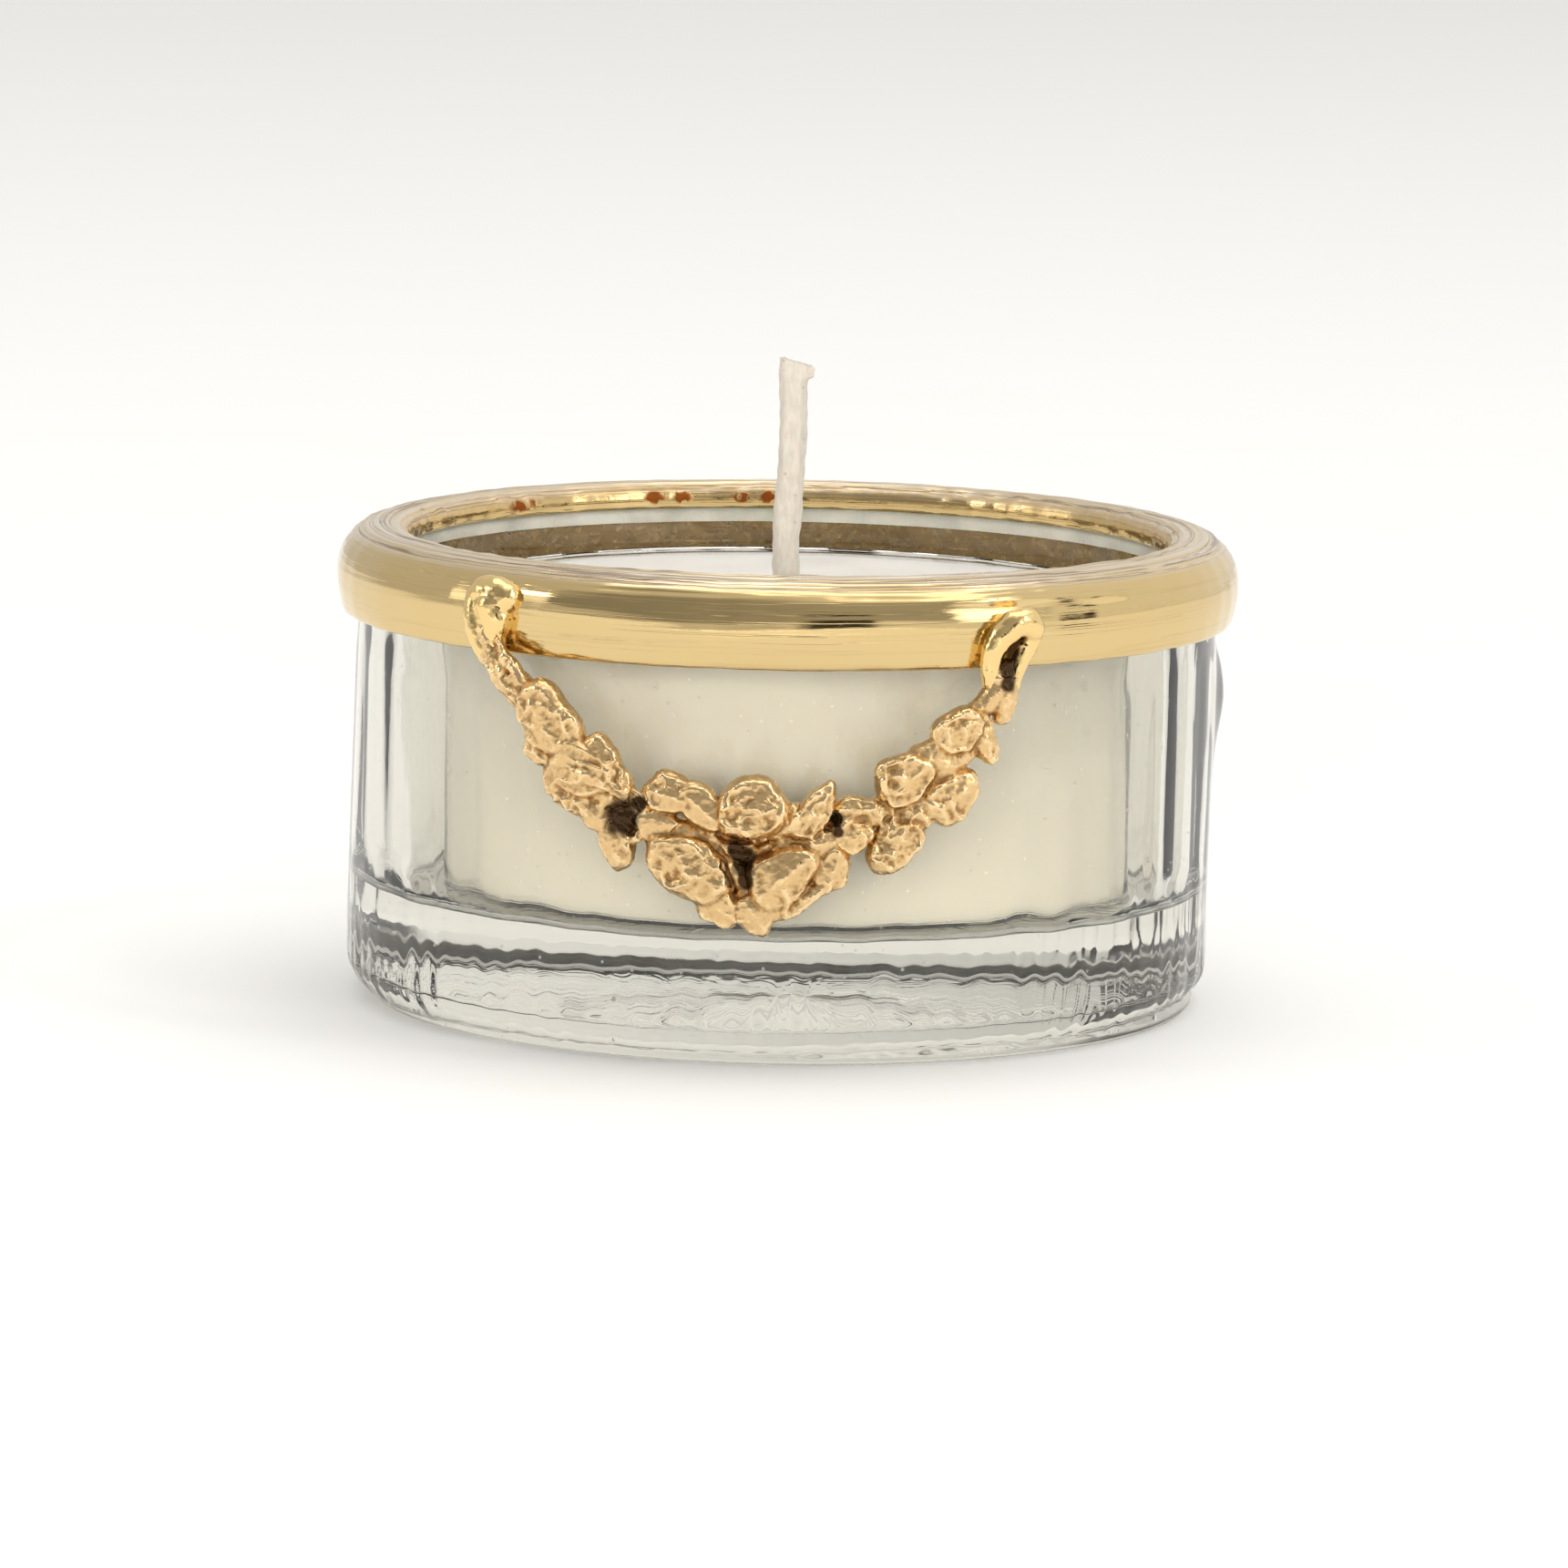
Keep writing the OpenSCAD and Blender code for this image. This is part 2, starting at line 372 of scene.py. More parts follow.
softbox("overhead", (0.05, 0.10, 0.95), (0.9, 0.7), 2.3, "#fffdf9")
softbox("left_box", (-0.95, -0.25, 0.42), (0.5, 0.6), 0.9, "#fffdfa")
softbox("right_box", (0.90, -0.55, 0.50), (0.35, 0.55), 1.5, "#ffffff")
softbox("glint_right", (0.60, -0.24, 0.68), (0.12, 0.06), 0.45, "#fffdf8")
softbox("glint_left", (-0.62, -0.26, 0.42), (0.07, 0.10), 0.25, "#fffdf8")
softbox("front_fill", (0.02, -0.95, 0.16), (0.9, 0.3), 9.0, "#fffdfa", mirrored=False)


def dark_card(name, around_degrees, away, low, high, wide, mirrored=True):
    """An upright matt black card that the camera doesn't see. One that isn't mirrored shows in glass only."""
    around = math.radians(around_degrees)
    middle = Vector((math.sin(around) * away, -math.cos(around) * away, 0))
    side = Vector((math.cos(around), math.sin(around), 0)) * wide / 2
    corners = [middle - side, middle + side, middle + side, middle - side]
    heights = [low, low, high, high]
    points = [(c.x / MM, c.y / MM, h / MM) for c, h in zip(corners, heights)]
    card = bake_down(name, points, [(0, 1, 2, 3)], black)
    card.visible_camera = False
    card.visible_shadow = False
    card.visible_diffuse = False
    card.visible_glossy = mirrored


black = bpy.data.materials.new("card_black")
black.use_nodes = True
black.node_tree.nodes["Principled BSDF"].inputs["Base Color"].default_value = colour("#1a1714")
black.node_tree.nodes["Principled BSDF"].inputs["Roughness"].default_value = 0.9
dark_card("card_front", 18, 0.85, 0.03, 0.26, 0.28)
dark_card("card_side", 84, 0.80, 0.03, 0.13, 0.14)
dark_card("flag_right", 122, 0.85, 0.0, 0.20, 0.56, mirrored=False)
dark_card("flag_left", -122, 0.85, 0.0, 0.24, 0.62, mirrored=False)
print("studio ready")

# %% Picture settings
bpy.context.scene.view_settings.view_transform = "Standard"
bpy.context.scene.cycles.use_denoising = True
bpy.context.scene.cycles.transmission_bounces = 16
bpy.context.scene.cycles.max_bounces = 20
bpy.context.scene.cycles.transparent_max_bounces = 16

# %% [markdown]
# ## Shared shader effects
#
# Several finishes need the same small effects, so each effect is a node group with its own inputs.
# A group only puts out masks, values and normals. The shader itself stays in each material.
#
# - *Turning marks* are fine lines that run round the axis, as a lathe or a file leaves them.
# - *Cast grain* is the tight pitted skin of a lost-wax casting.
# - *Handled film* is the faint cloudy film and dust that every touched surface carries.

# %% Node groups
def new_group(name, inputs, outputs):
    """An empty shader node group with float inputs (name, value) and outputs (name, socket type)."""
    group = bpy.data.node_groups.new(name, "ShaderNodeTree")
    for label, value in inputs:
        socket = group.interface.new_socket(name=label, in_out="INPUT", socket_type="NodeSocketFloat")
        socket.default_value = value
    for label, kind in outputs:
        group.interface.new_socket(name=label, in_out="OUTPUT", socket_type=kind)
    return group, group.nodes.new("NodeGroupInput").outputs, group.nodes.new("NodeGroupOutput").inputs


def use_group(tree, group, **values):
    """Places a node group in a material with its own values, and returns its outputs."""
    return node(tree, "ShaderNodeGroup", {"node_tree": group}, **values).outputs


# Lines per metre across the surface are many, and along it few, so the noise stretches into lines.
turning_marks, given, put = new_group(
    "turning_marks",
    [("Lines", 9000.0), ("Drift", 60.0), ("Sharpness", 0.5)],
    [("Height", "NodeSocketFloat"), ("Scratches", "NodeSocketFloat")],
)
place = node(turning_marks, "ShaderNodeTexCoord").outputs["Object"]
split = node(turning_marks, "ShaderNodeSeparateXYZ", Vector=place).outputs
flat = node(turning_marks, "ShaderNodeCombineXYZ", X=split["X"], Y=split["Y"])
radius = node(turning_marks, "ShaderNodeVectorMath", {"operation": "LENGTH"}, first=flat.outputs[0])
lined = node(
    turning_marks,
    "ShaderNodeCombineXYZ",
    X=maths(turning_marks, "MULTIPLY", radius.outputs["Value"], given["Lines"]),
    Y=maths(turning_marks, "MULTIPLY", split["Z"], given["Lines"]),
    Z=maths(turning_marks, "MULTIPLY", split["X"], given["Drift"]),
)
lines = node(
    turning_marks,
    "ShaderNodeTexNoise",
    {"noise_dimensions": "4D"},
    Vector=lined.outputs[0],
    W=maths(turning_marks, "MULTIPLY", split["Y"], given["Drift"]),
    Scale=1.0,
    Detail=3.0,
    Roughness=0.65,
).outputs["Fac"]
edge = maths(turning_marks, "MULTIPLY", given["Sharpness"], 0.2)
cut = maths(turning_marks, "ADD", edge, 0.55)
turning_marks.links.new(lines, put["Height"])
scratch = maths(turning_marks, "SUBTRACT", lines, cut)
turning_marks.links.new(maths(turning_marks, "MULTIPLY", scratch, 12.0, clamp=True), put["Scratches"])

cast_grain, given, put = new_group(
    "cast_grain",
    [("Scale", 2500.0), ("Pits", 0.5)],
    [("Height", "NodeSocketFloat"), ("Pit Mask", "NodeSocketFloat")],
)
place = node(cast_grain, "ShaderNodeTexCoord").outputs["Object"]
swell = node(cast_grain, "ShaderNodeTexNoise", Vector=place, Scale=given["Scale"], Detail=5.0, Roughness=0.6)
cells = node(cast_grain, "ShaderNodeTexVoronoi", Vector=place, Scale=given["Scale"])
pits = maths(cast_grain, "SUBTRACT", 0.42, cells.outputs["Distance"])
pits = maths(cast_grain, "MULTIPLY", maths(cast_grain, "MULTIPLY", pits, 3.0, clamp=True), given["Pits"])
cast_grain.links.new(maths(cast_grain, "SUBTRACT", swell.outputs["Fac"], pits), put["Height"])
cast_grain.links.new(pits, put["Pit Mask"])

handled_film, given, put = new_group(
    "handled_film",
    [("Scale", 120.0), ("Cover", 0.5), ("Dust", 0.5)],
    [("Film", "NodeSocketFloat"), ("Specks", "NodeSocketFloat")],
)
place = node(handled_film, "ShaderNodeTexCoord").outputs["Object"]
cloud = node(handled_film, "ShaderNodeTexNoise", Vector=place, Scale=given["Scale"], Detail=4.0)
cloud = fade(handled_film, cloud.outputs["Fac"], 0.35, 0.75)
handled_film.links.new(maths(handled_film, "MULTIPLY", cloud, given["Cover"]), put["Film"])
specks = node(handled_film, "ShaderNodeTexVoronoi", Vector=place, Scale=1100.0).outputs["Distance"]
specks = maths(handled_film, "MULTIPLY", maths(handled_film, "SUBTRACT", 0.13, specks), 18.0, clamp=True)
handled_film.links.new(maths(handled_film, "MULTIPLY", specks, given["Dust"]), put["Specks"])
print("groups:", [g.name for g in bpy.data.node_groups])


# %% Material tools
def new_material(name, **plain):
    """A Principled material with plain numbers set on its own sockets."""
    material = bpy.data.materials.new(name)
    material.use_nodes = True
    shader = material.node_tree.nodes["Principled BSDF"]
    for key, value in plain.items():
        shader.inputs[key.replace("_", " ")].default_value = value
    return material, material.node_tree, shader


def drive(tree, shader, **links):
    """Links node outputs to the shader's sockets."""
    for key, output in links.items():
        tree.links.new(output, shader.inputs[key.replace("_", " ")])


def bump(tree, height, depth, strength=1.0, under=None):
    """A Bump node's normal. depth is the height in metres of a full step from 0 to 1."""
    made = node(tree, "ShaderNodeBump", Height=height, Distance=depth, Strength=strength)
    if under is not None:
        tree.links.new(under, made.inputs["Normal"])
    return made.outputs["Normal"]


def clear_to_lamps(tree, shader, tint):
    """Lets a lamp's light pass straight through clear stuff, so that what stands inside is lit evenly."""
    clear = node(tree, "ShaderNodeBsdfTransparent", Color=colour(tint))
    light_path = node(tree, "ShaderNodeLightPath").outputs["Is Shadow Ray"]
    surface = node(tree, "ShaderNodeMixShader", first=light_path)
    tree.links.new(shader.outputs[0], surface.inputs[1])
    tree.links.new(clear.outputs[0], surface.inputs[2])
    tree.links.new(surface.outputs[0], tree.nodes["Material Output"].inputs["Surface"])


def painted(tree, name):
    """The mask that was painted on the mesh under this name."""
    return node(tree, "ShaderNodeAttribute", {"attribute_name": name}).outputs["Fac"]


def paint(piece, name, values):
    """Stores one number for each point of a mesh."""
    layer = piece.data.attributes.new(name, "FLOAT", "POINT")
    layer.data.foreach_set("value", np.asarray(values, np.float32))


def points_of(piece):
    """A mesh's points in millimetres, and their angle round the axis in radians, 0 facing -Y."""
    flat = np.zeros(len(piece.data.vertices) * 3)
    piece.data.vertices.foreach_get("co", flat)
    points = flat.reshape(-1, 3) / MM
    return points, np.arctan2(points[:, 0], -points[:, 1])


# %% [markdown]
# ## The glass cup
#
# The cup is pressed soda-lime glass, cooled in its mould. The press leaves long vertical draws in
# the walls, a slack wavy corner where the wall meets the well floor, ripples under the base, and
# a bubble here and there. It could be a perfect lathe shape with a bump map, but a bump map bends
# only the surface light: real waves in the mesh bend what is seen through the wall as well, and
# that is most of what makes old pressed glass look thick and wet.

# %% Outline of the cup
cup_outline = smooth_outline([
    (0, 1.22), (4, 1.04), (8, 0.80), (12, 0.55), (16, 0.30), (19, 0.09), (20.3, 0.0), (21.6, 0.0),
    (22.7, 0.03), (23.3, 0.22), (23.68, 0.70), (23.87, 1.4), (23.97, 2.6), (23.98, 6), (23.94, 12),
    (23.88, 18), (23.8, 21.5), (23.78, 23.8), (23.66, 24.5), (23.25, 25.0), (22.55, 25.18), (21.9, 25.0),
    (21.5, 24.5), (21.4, 23.6), (21.34, 20), (21.3, 14), (21.29, 8.8), (21.26, 7.6), (21.12, 6.9),
    (20.75, 6.55), (20.1, 6.46), (18.8, 6.46), (14, 6.46), (7, 6.46), (0, 6.46),
], 0.24)
cup_outline[[0, -1], 0] = 0

draws = wave_field(11, 26, (5, 55), 0.10, 0.020)
slow_draws = wave_field(12, 7, (2, 7), 0.06, 0.06)
well_draws = wave_field(13, 18, (4, 40), 0.08, 0.024)
slack_corner = wave_field(14, 20, (4, 40), 0.5, 0.045)
base_ripples = wave_field(15, 26, (3, 60), 1.0, 0.022)
foot_ripples = wave_field(18, 36, (16, 120), 1.0, 0.020)
fine_ripples = wave_field(16, 26, (30, 150), 1.2, 0.005)
CUP_LEAN = 0.30
MARK_X = -0.4
MARK_Y = -16.5
MARK_DEEP = 0.24


def cup_relief(angle, r, z, out_r, out_z):
    """How far the pressed glass stands out of its true lathe shape, in mm."""
    outside = ramp(out_r, 0.3, 0.9) * ramp(-z, -21, -19)
    inside = ramp(-out_r, 0.3, 0.9) * ramp(z, 6.8, 9)
    corner = ramp(r, 20.0, 20.9) * ramp(-z, -8.6, -7.0) * (1 - ramp(r, 21.6, 21.8)) * (z > 5)
    under = ramp(-out_z, 0.3, 0.9) * ramp(-r, -20.4, -18)
    foot = ramp(-z, -6.5, -0.8) * ramp(r, 21.8, 23)
    lean = -CUP_LEAN * np.sin(angle) * ramp(-z, -21, -2)
    push = outside * (wave_height(draws, angle, z) + wave_height(slow_draws, angle, z) + lean)
    push = push + outside * 0.50 * mound(angle, z, 96, 17.3, 6.0, 2.5)
    push = push + inside * wave_height(well_draws, angle, z)
    push = push + corner * wave_height(slack_corner, angle, z)
    push = push - under * np.abs(wave_height(base_ripples, angle, r))
    from_mark = np.hypot(r * np.sin(angle) - MARK_X, -r * np.cos(angle) - MARK_Y)
    mark = np.exp(-(((from_mark - 3.2) / 0.8) ** 2)) - 0.8 * np.exp(-((from_mark / 0.9) ** 2))
    push = push - (z < 3) * MARK_DEEP * mark
    push = push - 0.55 * (1 - ramp(-np.cos(angle), 0.2, 0.8)) * ramp(-z, -2.2, -0.2) * ramp(r, 22.6, 23.5)
    push = push + foot * ramp(z, 0.05, 0.8) * wave_height(foot_ripples, angle, z)
    return push + (foot * ramp(z, 0.05, 0.8) + corner + under) * wave_height(fine_ripples, angle, r + z)


glass_cup = spin("pressed_cup", cup_outline, 1080, cup_relief)


# %% Bubbles in the glass
# Each row: degrees round the axis, height, distance from the axis, diameter, in mm.
bubbles = [
    (-131.5, 23.9, 22.6, 0.36), (-129.3, 24.1, 22.5, 0.30), (-128.6, 23.7, 22.6, 0.22),
    (62, 3.2, 21.5, 0.30), (-24, 2.4, 16.0, 0.24), (148, 4.4, 19.0, 0.34), (-83, 12.4, 22.7, 0.20),
]
work = bmesh.new()
work.from_mesh(glass_cup.data)
for degrees, up, away, wide in bubbles:
    around = math.radians(degrees)
    at = Matrix.Translation(Vector((away * math.sin(around), -away * math.cos(around), up)) * MM)
    made = bmesh.ops.create_icosphere(work, subdivisions=3, radius=wide / 2 * MM, matrix=at)
    bubble_faces = {face for vert in made["verts"] for face in vert.link_faces}
    bmesh.ops.reverse_faces(work, faces=list(bubble_faces))
work.to_mesh(glass_cup.data)
work.free()
glass_cup.data.shade_smooth()
points, angle = points_of(glass_cup)
radius_mm = np.hypot(points[:, 0], points[:, 1])
ragged = wave_height(wave_field(19, 20, (6, 60), 0, 0.35), angle, 0)
paint(glass_cup, "wear_and_sheen", ramp(-points[:, 2], -1.5 - ragged, -0.7 - ragged) * ramp(radius_mm, 20.6, 21.6))
print("bubbles:", len(bubbles))

# %% Glass
glass, tree, shader = new_material(
    "pressed_glass",
    Base_Color=colour("#e4e2d9"),
    Transmission_Weight=1.0,
    IOR=1.5,
)
film = use_group(tree, handled_film, Scale=90.0, Cover=0.02, Dust=0.25)
wear_and_sheen = maths(tree, "MULTIPLY", painted(tree, "wear_and_sheen"), 0.16)
drive(tree, shader, Roughness=maths(tree, "ADD", wear_and_sheen, maths(tree, "ADD", film["Film"], film["Specks"])))
place = node(tree, "ShaderNodeTexCoord").outputs["Object"]
stretched = node(tree, "ShaderNodeMapping", Vector=place, Scale=(1, 1, 0.12)).outputs[0]
cords = node(tree, "ShaderNodeTexNoise", Vector=stretched, Scale=700.0, Detail=3.0).outputs["Fac"]
drive(tree, shader, Normal=bump(tree, cords, 0.00001, 0.6))
clear_to_lamps(tree, shader, "#fffffd")
glass_cup.data.materials.append(glass)

# The lip was ground flat after pressing, so it is white and matt where the rest is clear.
GROUND_FROM = 24.2

ground_lip, tree, shader = new_material("ground_lip", IOR=1.5, Subsurface_Weight=0.5, Subsurface_Scale=0.0006)
grain = use_group(tree, cast_grain, Scale=5000.0, Pits=0.4)
patches = use_group(tree, handled_film, Scale=420.0, Cover=1.0, Dust=0.2)
base = blend_colours(tree, patches["Film"], colour("#cdcabd"), colour("#b4b3a6"))
drive(tree, shader, Base_Color=base, Roughness=fade(tree, patches["Film"], 0.0, 1.0, 0.22, 0.45))
drive(tree, shader, Normal=bump(tree, grain["Height"], 0.00003, 0.7))
glass_cup.data.materials.append(ground_lip)
height_mm = points[:, 2]
for face in glass_cup.data.polygons:
    face.material_index = int(height_mm[face.vertices[0]] > GROUND_FROM)
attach(glass_cup, "glass")
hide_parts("glass_cup")

# %% [markdown]
# ## The gilt collar
#
# The collar is a cast brass band, turned on its top face, filed and polished on its front, and
# gilded. Its section is like a letter D lying on its back, with a lip inside that rests on the
# glass rim and a skirt that hangs round it. The top face keeps coarse concentric file lines, and
# the front is glossy with long shallow waves. Both are in the mesh, because a glossy surface
# shows its true shape in its reflections; only the hairline scratches are left to the material.

# %% Outline of the collar
collar_outline = smooth_outline([
    (23.93, 21.62), (24.12, 21.50), (24.50, 21.50), (24.70, 21.62), (24.84, 22.1), (24.95, 22.8),
    (24.99, 23.4), (24.98, 23.9), (24.91, 24.35), (24.76, 24.85), (24.50, 25.32), (24.12, 25.70),
    (23.65, 26.03), (23.1, 26.20), (22.5, 26.28), (21.95, 26.24), (21.5, 26.08), (21.18, 25.82),
    (21.02, 25.45), (21.00, 25.1), (21.06, 24.84), (21.2, 24.80), (21.32, 24.98), (21.5, 25.2), (21.9, 25.24),
    (22.6, 25.24), (23.5, 25.24), (23.84, 25.16),
    (23.92, 24.9), (23.93, 23.5),
], 0.085, closed=True)

polish_waves = wave_field(21, 14, (2, 11), 2.6, 0.016)
file_drift = wave_field(22, 6, (1, 5), 0.0, 0.5)
fine_drift = wave_field(23, 8, (2, 9), 0.0, 0.7)
rebate_waves = wave_field(24, 24, (10, 90), 2.5, 0.018)
edge_waves = wave_field(25, 16, (6, 70), 0.4, 0.012)


def collar_relief(angle, r, z, out_r, out_z):
    """File lines on top, slow polishing waves in front, and a few runs of solder, in mm."""
    top = ramp(out_z, 0.45, 0.9) * (z > 25.4)
    front = ramp(out_r, 0.4, 0.8)
    back = ramp(-out_r, 0.5, 0.9) * (r > 23) + ramp(-out_z, 0.6, 0.9) * (z > 25)
    coarse = np.sin(TURN * r / 0.62 + 2.2 * wave_height(file_drift, angle, 0))
    fine = np.sin(TURN * r / 0.27 + 2.6 * wave_height(fine_drift, angle, 0))
    push = top * (0.034 * coarse + 0.014 * fine)
    push = push + front * wave_height(polish_waves, angle, z)
    push = push + front * 0.004 * np.sin(TURN * z / 0.42 + 2 * wave_height(fine_drift, angle, 0))
    push = push + back * (wave_height(rebate_waves, angle, z) - 0.03)
    inner = ramp(-r, -22.2, -21.3) * (z > 24.9)
    push = push + (1 + 2.2 * inner) * wave_height(edge_waves, angle, r)
    run = mound(angle, z, 34.0, 25.12, 9.0, 0.22) * 0.22 + mound(angle, z, 48, 24.95, 4.5, 0.22) * 0.18
    rough = mound(angle, z, -48, 25.2, 6.0, 0.35) * 0.07 * np.sin(60 * angle + 9 * z)
    return push + ramp(out_r + out_z, 0.6, 1.1) * (run + rough)


collar = spin("gilt_collar", collar_outline, 1200, collar_relief, closed=True)

# %% Where the collar is satin, tarnished or rusty
points, angle = points_of(collar)
radius_mm = np.hypot(points[:, 0], points[:, 1])
height_mm = points[:, 2]
satin = ramp(height_mm, 25.45, 26.0)
hidden_face = (radius_mm < 24.15) & (height_mm < 25.32) & (radius_mm > 21.45)
inner_edge = ramp(-radius_mm, -21.9, -21.2) * (height_mm > 25.3)
RUST_UP = 25.45
RUST_TALL = 0.34
rust = sum(
    mound(angle, height_mm, degrees, RUST_UP, wide, RUST_TALL) * ramp(-radius_mm, -21.6, -21.2)
    for degrees, wide in ((-129, 3.2), (-153.5, 1.6), (-158, 1.5), (-168, 1.8), (-172, 1.6))
)
paint(collar, "satin", satin)
paint(collar, "tarnish", np.maximum(hidden_face, 0.45 * inner_edge))
paint(collar, "rust", rust)
print("satin share", round(float(satin.mean()), 2), "rust peak", round(float(rust.max()), 2))

# %% Gilt for the collar
GILT = colour("#dac08a")
GILT_PALE = colour("#e9dccb")
GILT_GROOVE_DARK = colour("#7d5f3c")
GILT_OLD = colour("#cba86e")
RUST = colour("#a05a26")

band_gilt, tree, shader = new_material("band_gilt", Metallic=1.0)
lines = use_group(tree, turning_marks, Lines=7000.0, Drift=55.0, Sharpness=0.5)
hairs = use_group(tree, turning_marks, Lines=26000.0, Drift=160.0, Sharpness=0.9)
film = use_group(tree, handled_film, Scale=140.0, Cover=0.5, Dust=0.2)
satin_mask = painted(tree, "satin")
tarnish_mask = painted(tree, "tarnish")
# The top face is painted a paler gilt along its file lines: a painted sheen. The hairline scratches take a
# share of the same pale gilt.
wear_and_sheen = maths(tree, "MULTIPLY", satin_mask, fade(tree, lines["Height"], 0.30, 0.62))
base = blend_colours(tree, wear_and_sheen, GILT, GILT_PALE)
base = blend_colours(tree, maths(tree, "MULTIPLY", hairs["Scratches"], 0.35), base, GILT_PALE)
# The narrow file grooves, mostly on the top face, are painted a darker brown.
grooves = use_group(tree, turning_marks, Lines=1500.0, Drift=14.0, Sharpness=0.5)
off_line = maths(tree, "ABSOLUTE", maths(tree, "SUBTRACT", grooves["Height"], 0.5))
on_satin = fade(tree, satin_mask, 0.0, 1.0, 0.12, 1.0)
groove = maths(tree, "MULTIPLY", fade(tree, off_line, 0.030, 0.0), on_satin)
base = blend_colours(tree, maths(tree, "MULTIPLY", groove, 0.7), base, GILT_GROOVE_DARK)
grain = use_group(tree, cast_grain, Scale=1600.0, Pits=0.5)
old = maths(tree, "MULTIPLY", tarnish_mask, fade(tree, grain["Height"], 0.25, 0.6, 0.45, 1.0))
base = blend_colours(tree, old, base, GILT_OLD)
rusty = maths(tree, "MULTIPLY", painted(tree, "rust"), fade(tree, grain["Height"], 0.3, 0.6, 0.4, 1.6))
rusty = fade(tree, rusty, 0.22, 0.85)
base = blend_colours(tree, rusty, base, RUST)
rough = maths(tree, "ADD", fade(tree, satin_mask, 0.0, 1.0, 0.055, 0.27), maths(tree, "MULTIPLY", old, 0.25))
rough = maths(tree, "ADD", rough, maths(tree, "MULTIPLY", film["Film"], 0.08))
rough = maths(tree, "ADD", rough, maths(tree, "MULTIPLY", rusty, 0.4))
fine_normal = bump(tree, hairs["Height"], 0.000004, 0.6)
line_depth = maths(tree, "MULTIPLY", lines["Height"], on_satin)
line_normal = bump(tree, line_depth, 0.00004, 0.8, fine_normal)
line_normal = bump(tree, maths(tree, "SUBTRACT", 1.0, groove), 0.00004, 0.8, line_normal)
pitted = maths(tree, "MULTIPLY", grain["Height"], maths(tree, "ADD", tarnish_mask, rusty))
drive(tree, shader, Base_Color=base, Roughness=rough, Normal=bump(tree, pitted, 0.00005, 0.8, line_normal))
collar.data.materials.append(band_gilt)
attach(collar, "collar")
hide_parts("brass_collar")

# %% [markdown]
# ## The garland
#
# The garland is three small castings of overlapping leaves, soldered end to end and bent to the
# curve of the cup. A real maker models each leaf in wax, presses them together and casts the lot.
# The same order works here. Each leaf is a closed mesh with a rolled rim, a hollow face, a midrib
# and side veins. All the leaves of a casting are laid out flat, fused with a voxel remesh, which
# also softens their joins as molten metal would, pitted with noise, and then bent round the cup.
#
# A leaf is described by one row: where it sits (degrees round the cup, height in mm), its length
# and width, how far it leans, how far it stands out, how much its rim is rolled, and its veins.

# %% One leaf
# Radius of the sheet that the castings are laid out on, and the rings and spokes of a leaf's grid.
SHEET_R = 25.6
GRID_RINGS = 16
GRID_SPOKES = 52


def leaf_points(length, width, rim, veins, seed):
    """Points of one leaf lying flat: X along, Y across, Z out of its face, in mm."""
    draw = np.random.default_rng(seed)
    share = np.linspace(0, 1, GRID_RINGS + 1)[1:, None]
    spoke = np.linspace(0, TURN, GRID_SPOKES, endpoint=False)[None, :]
    taper = draw.uniform(0.10, 0.28)
    lobes = sum(
        height * np.sin(count * spoke + draw.uniform(0, TURN))
        for count, height in ((2, 0.03), (3, 0.05), (5, 0.035), (7, 0.02))
    )
    x = length / 2 * share * np.cos(spoke) * (1 + lobes)
    y = width / 2 * share * np.sin(spoke) * (1 + lobes) * (1 - taper * np.cos(spoke))
    thick = 0.40 + 0.20 * width
    round_side = np.sqrt(np.clip(1 - share**2.3, 0, 1))
    crest = rim * (0.7 + 0.3 * np.sin(spoke * 2 + seed))
    top = thick * round_side + crest * np.exp(-(((share - 0.80) / 0.13) ** 2))
    top = top - 0.55 * rim * (1 - share**2)
    midrib = np.exp(-((y / (0.09 * width)) ** 2)) * (1 - share**4)
    ribs = np.maximum(0, np.sin(TURN * (x * 0.9 - np.abs(y) * 1.1) / (0.24 * length) + seed))
    top = top + veins * (0.8 * midrib + 0.5 * ribs * (1 - share**3) * share)
    curl = draw.uniform(-0.05, 0.12) * (x / (length / 2)) ** 2 * length / 4
    tilt = draw.uniform(-0.12, 0.12) * y
    bottom = -1.15 * thick * round_side
    top_points = np.stack([x, y, top + curl + tilt], 2).reshape(-1, 3)
    low_points = np.stack([x, y, bottom + curl + tilt], 2)[:-1].reshape(-1, 3)
    middle = [(0, 0, top_points[:GRID_SPOKES, 2].mean()), (0, 0, low_points[:GRID_SPOKES, 2].mean())]
    return np.vstack([top_points, low_points, middle])


def leaf_faces():
    """Faces that fit leaf_points: a face side, a back that shares its last ring, and two centres."""
    face = np.arange(GRID_RINGS * GRID_SPOKES).reshape(GRID_RINGS, GRID_SPOKES)
    back = face[:-1] + GRID_RINGS * GRID_SPOKES
    back = np.vstack([back, face[-1:]])
    centres = (2 * GRID_RINGS - 1) * GRID_SPOKES
    made = []
    for rings, centre in ((face, centres), (back, centres + 1)):
        turned = np.roll(rings, -1, 1)
        made += np.stack([rings[:-1], turned[:-1], turned[1:], rings[1:]], 2).reshape(-1, 4).tolist()
        made += [(centre, int(a), int(b)) for a, b in zip(rings[0], turned[0])]
    return made


LEAF_FACES = leaf_faces()


def lay_leaf(row, seed):
    """One leaf's points, laid out on the flat sheet: X round the cup, Y up, Z out from the glass."""
    degrees, up, length, width, lean, stand, rim, veins = row
    points = leaf_points(length, width, rim, veins, seed)
    turn = Matrix.Rotation(math.radians(lean), 3, "Z")
    points = points @ np.array(turn).T
    return points + (math.radians(degrees) * SHEET_R, up, stand)


BEAD_STEP = 0.16


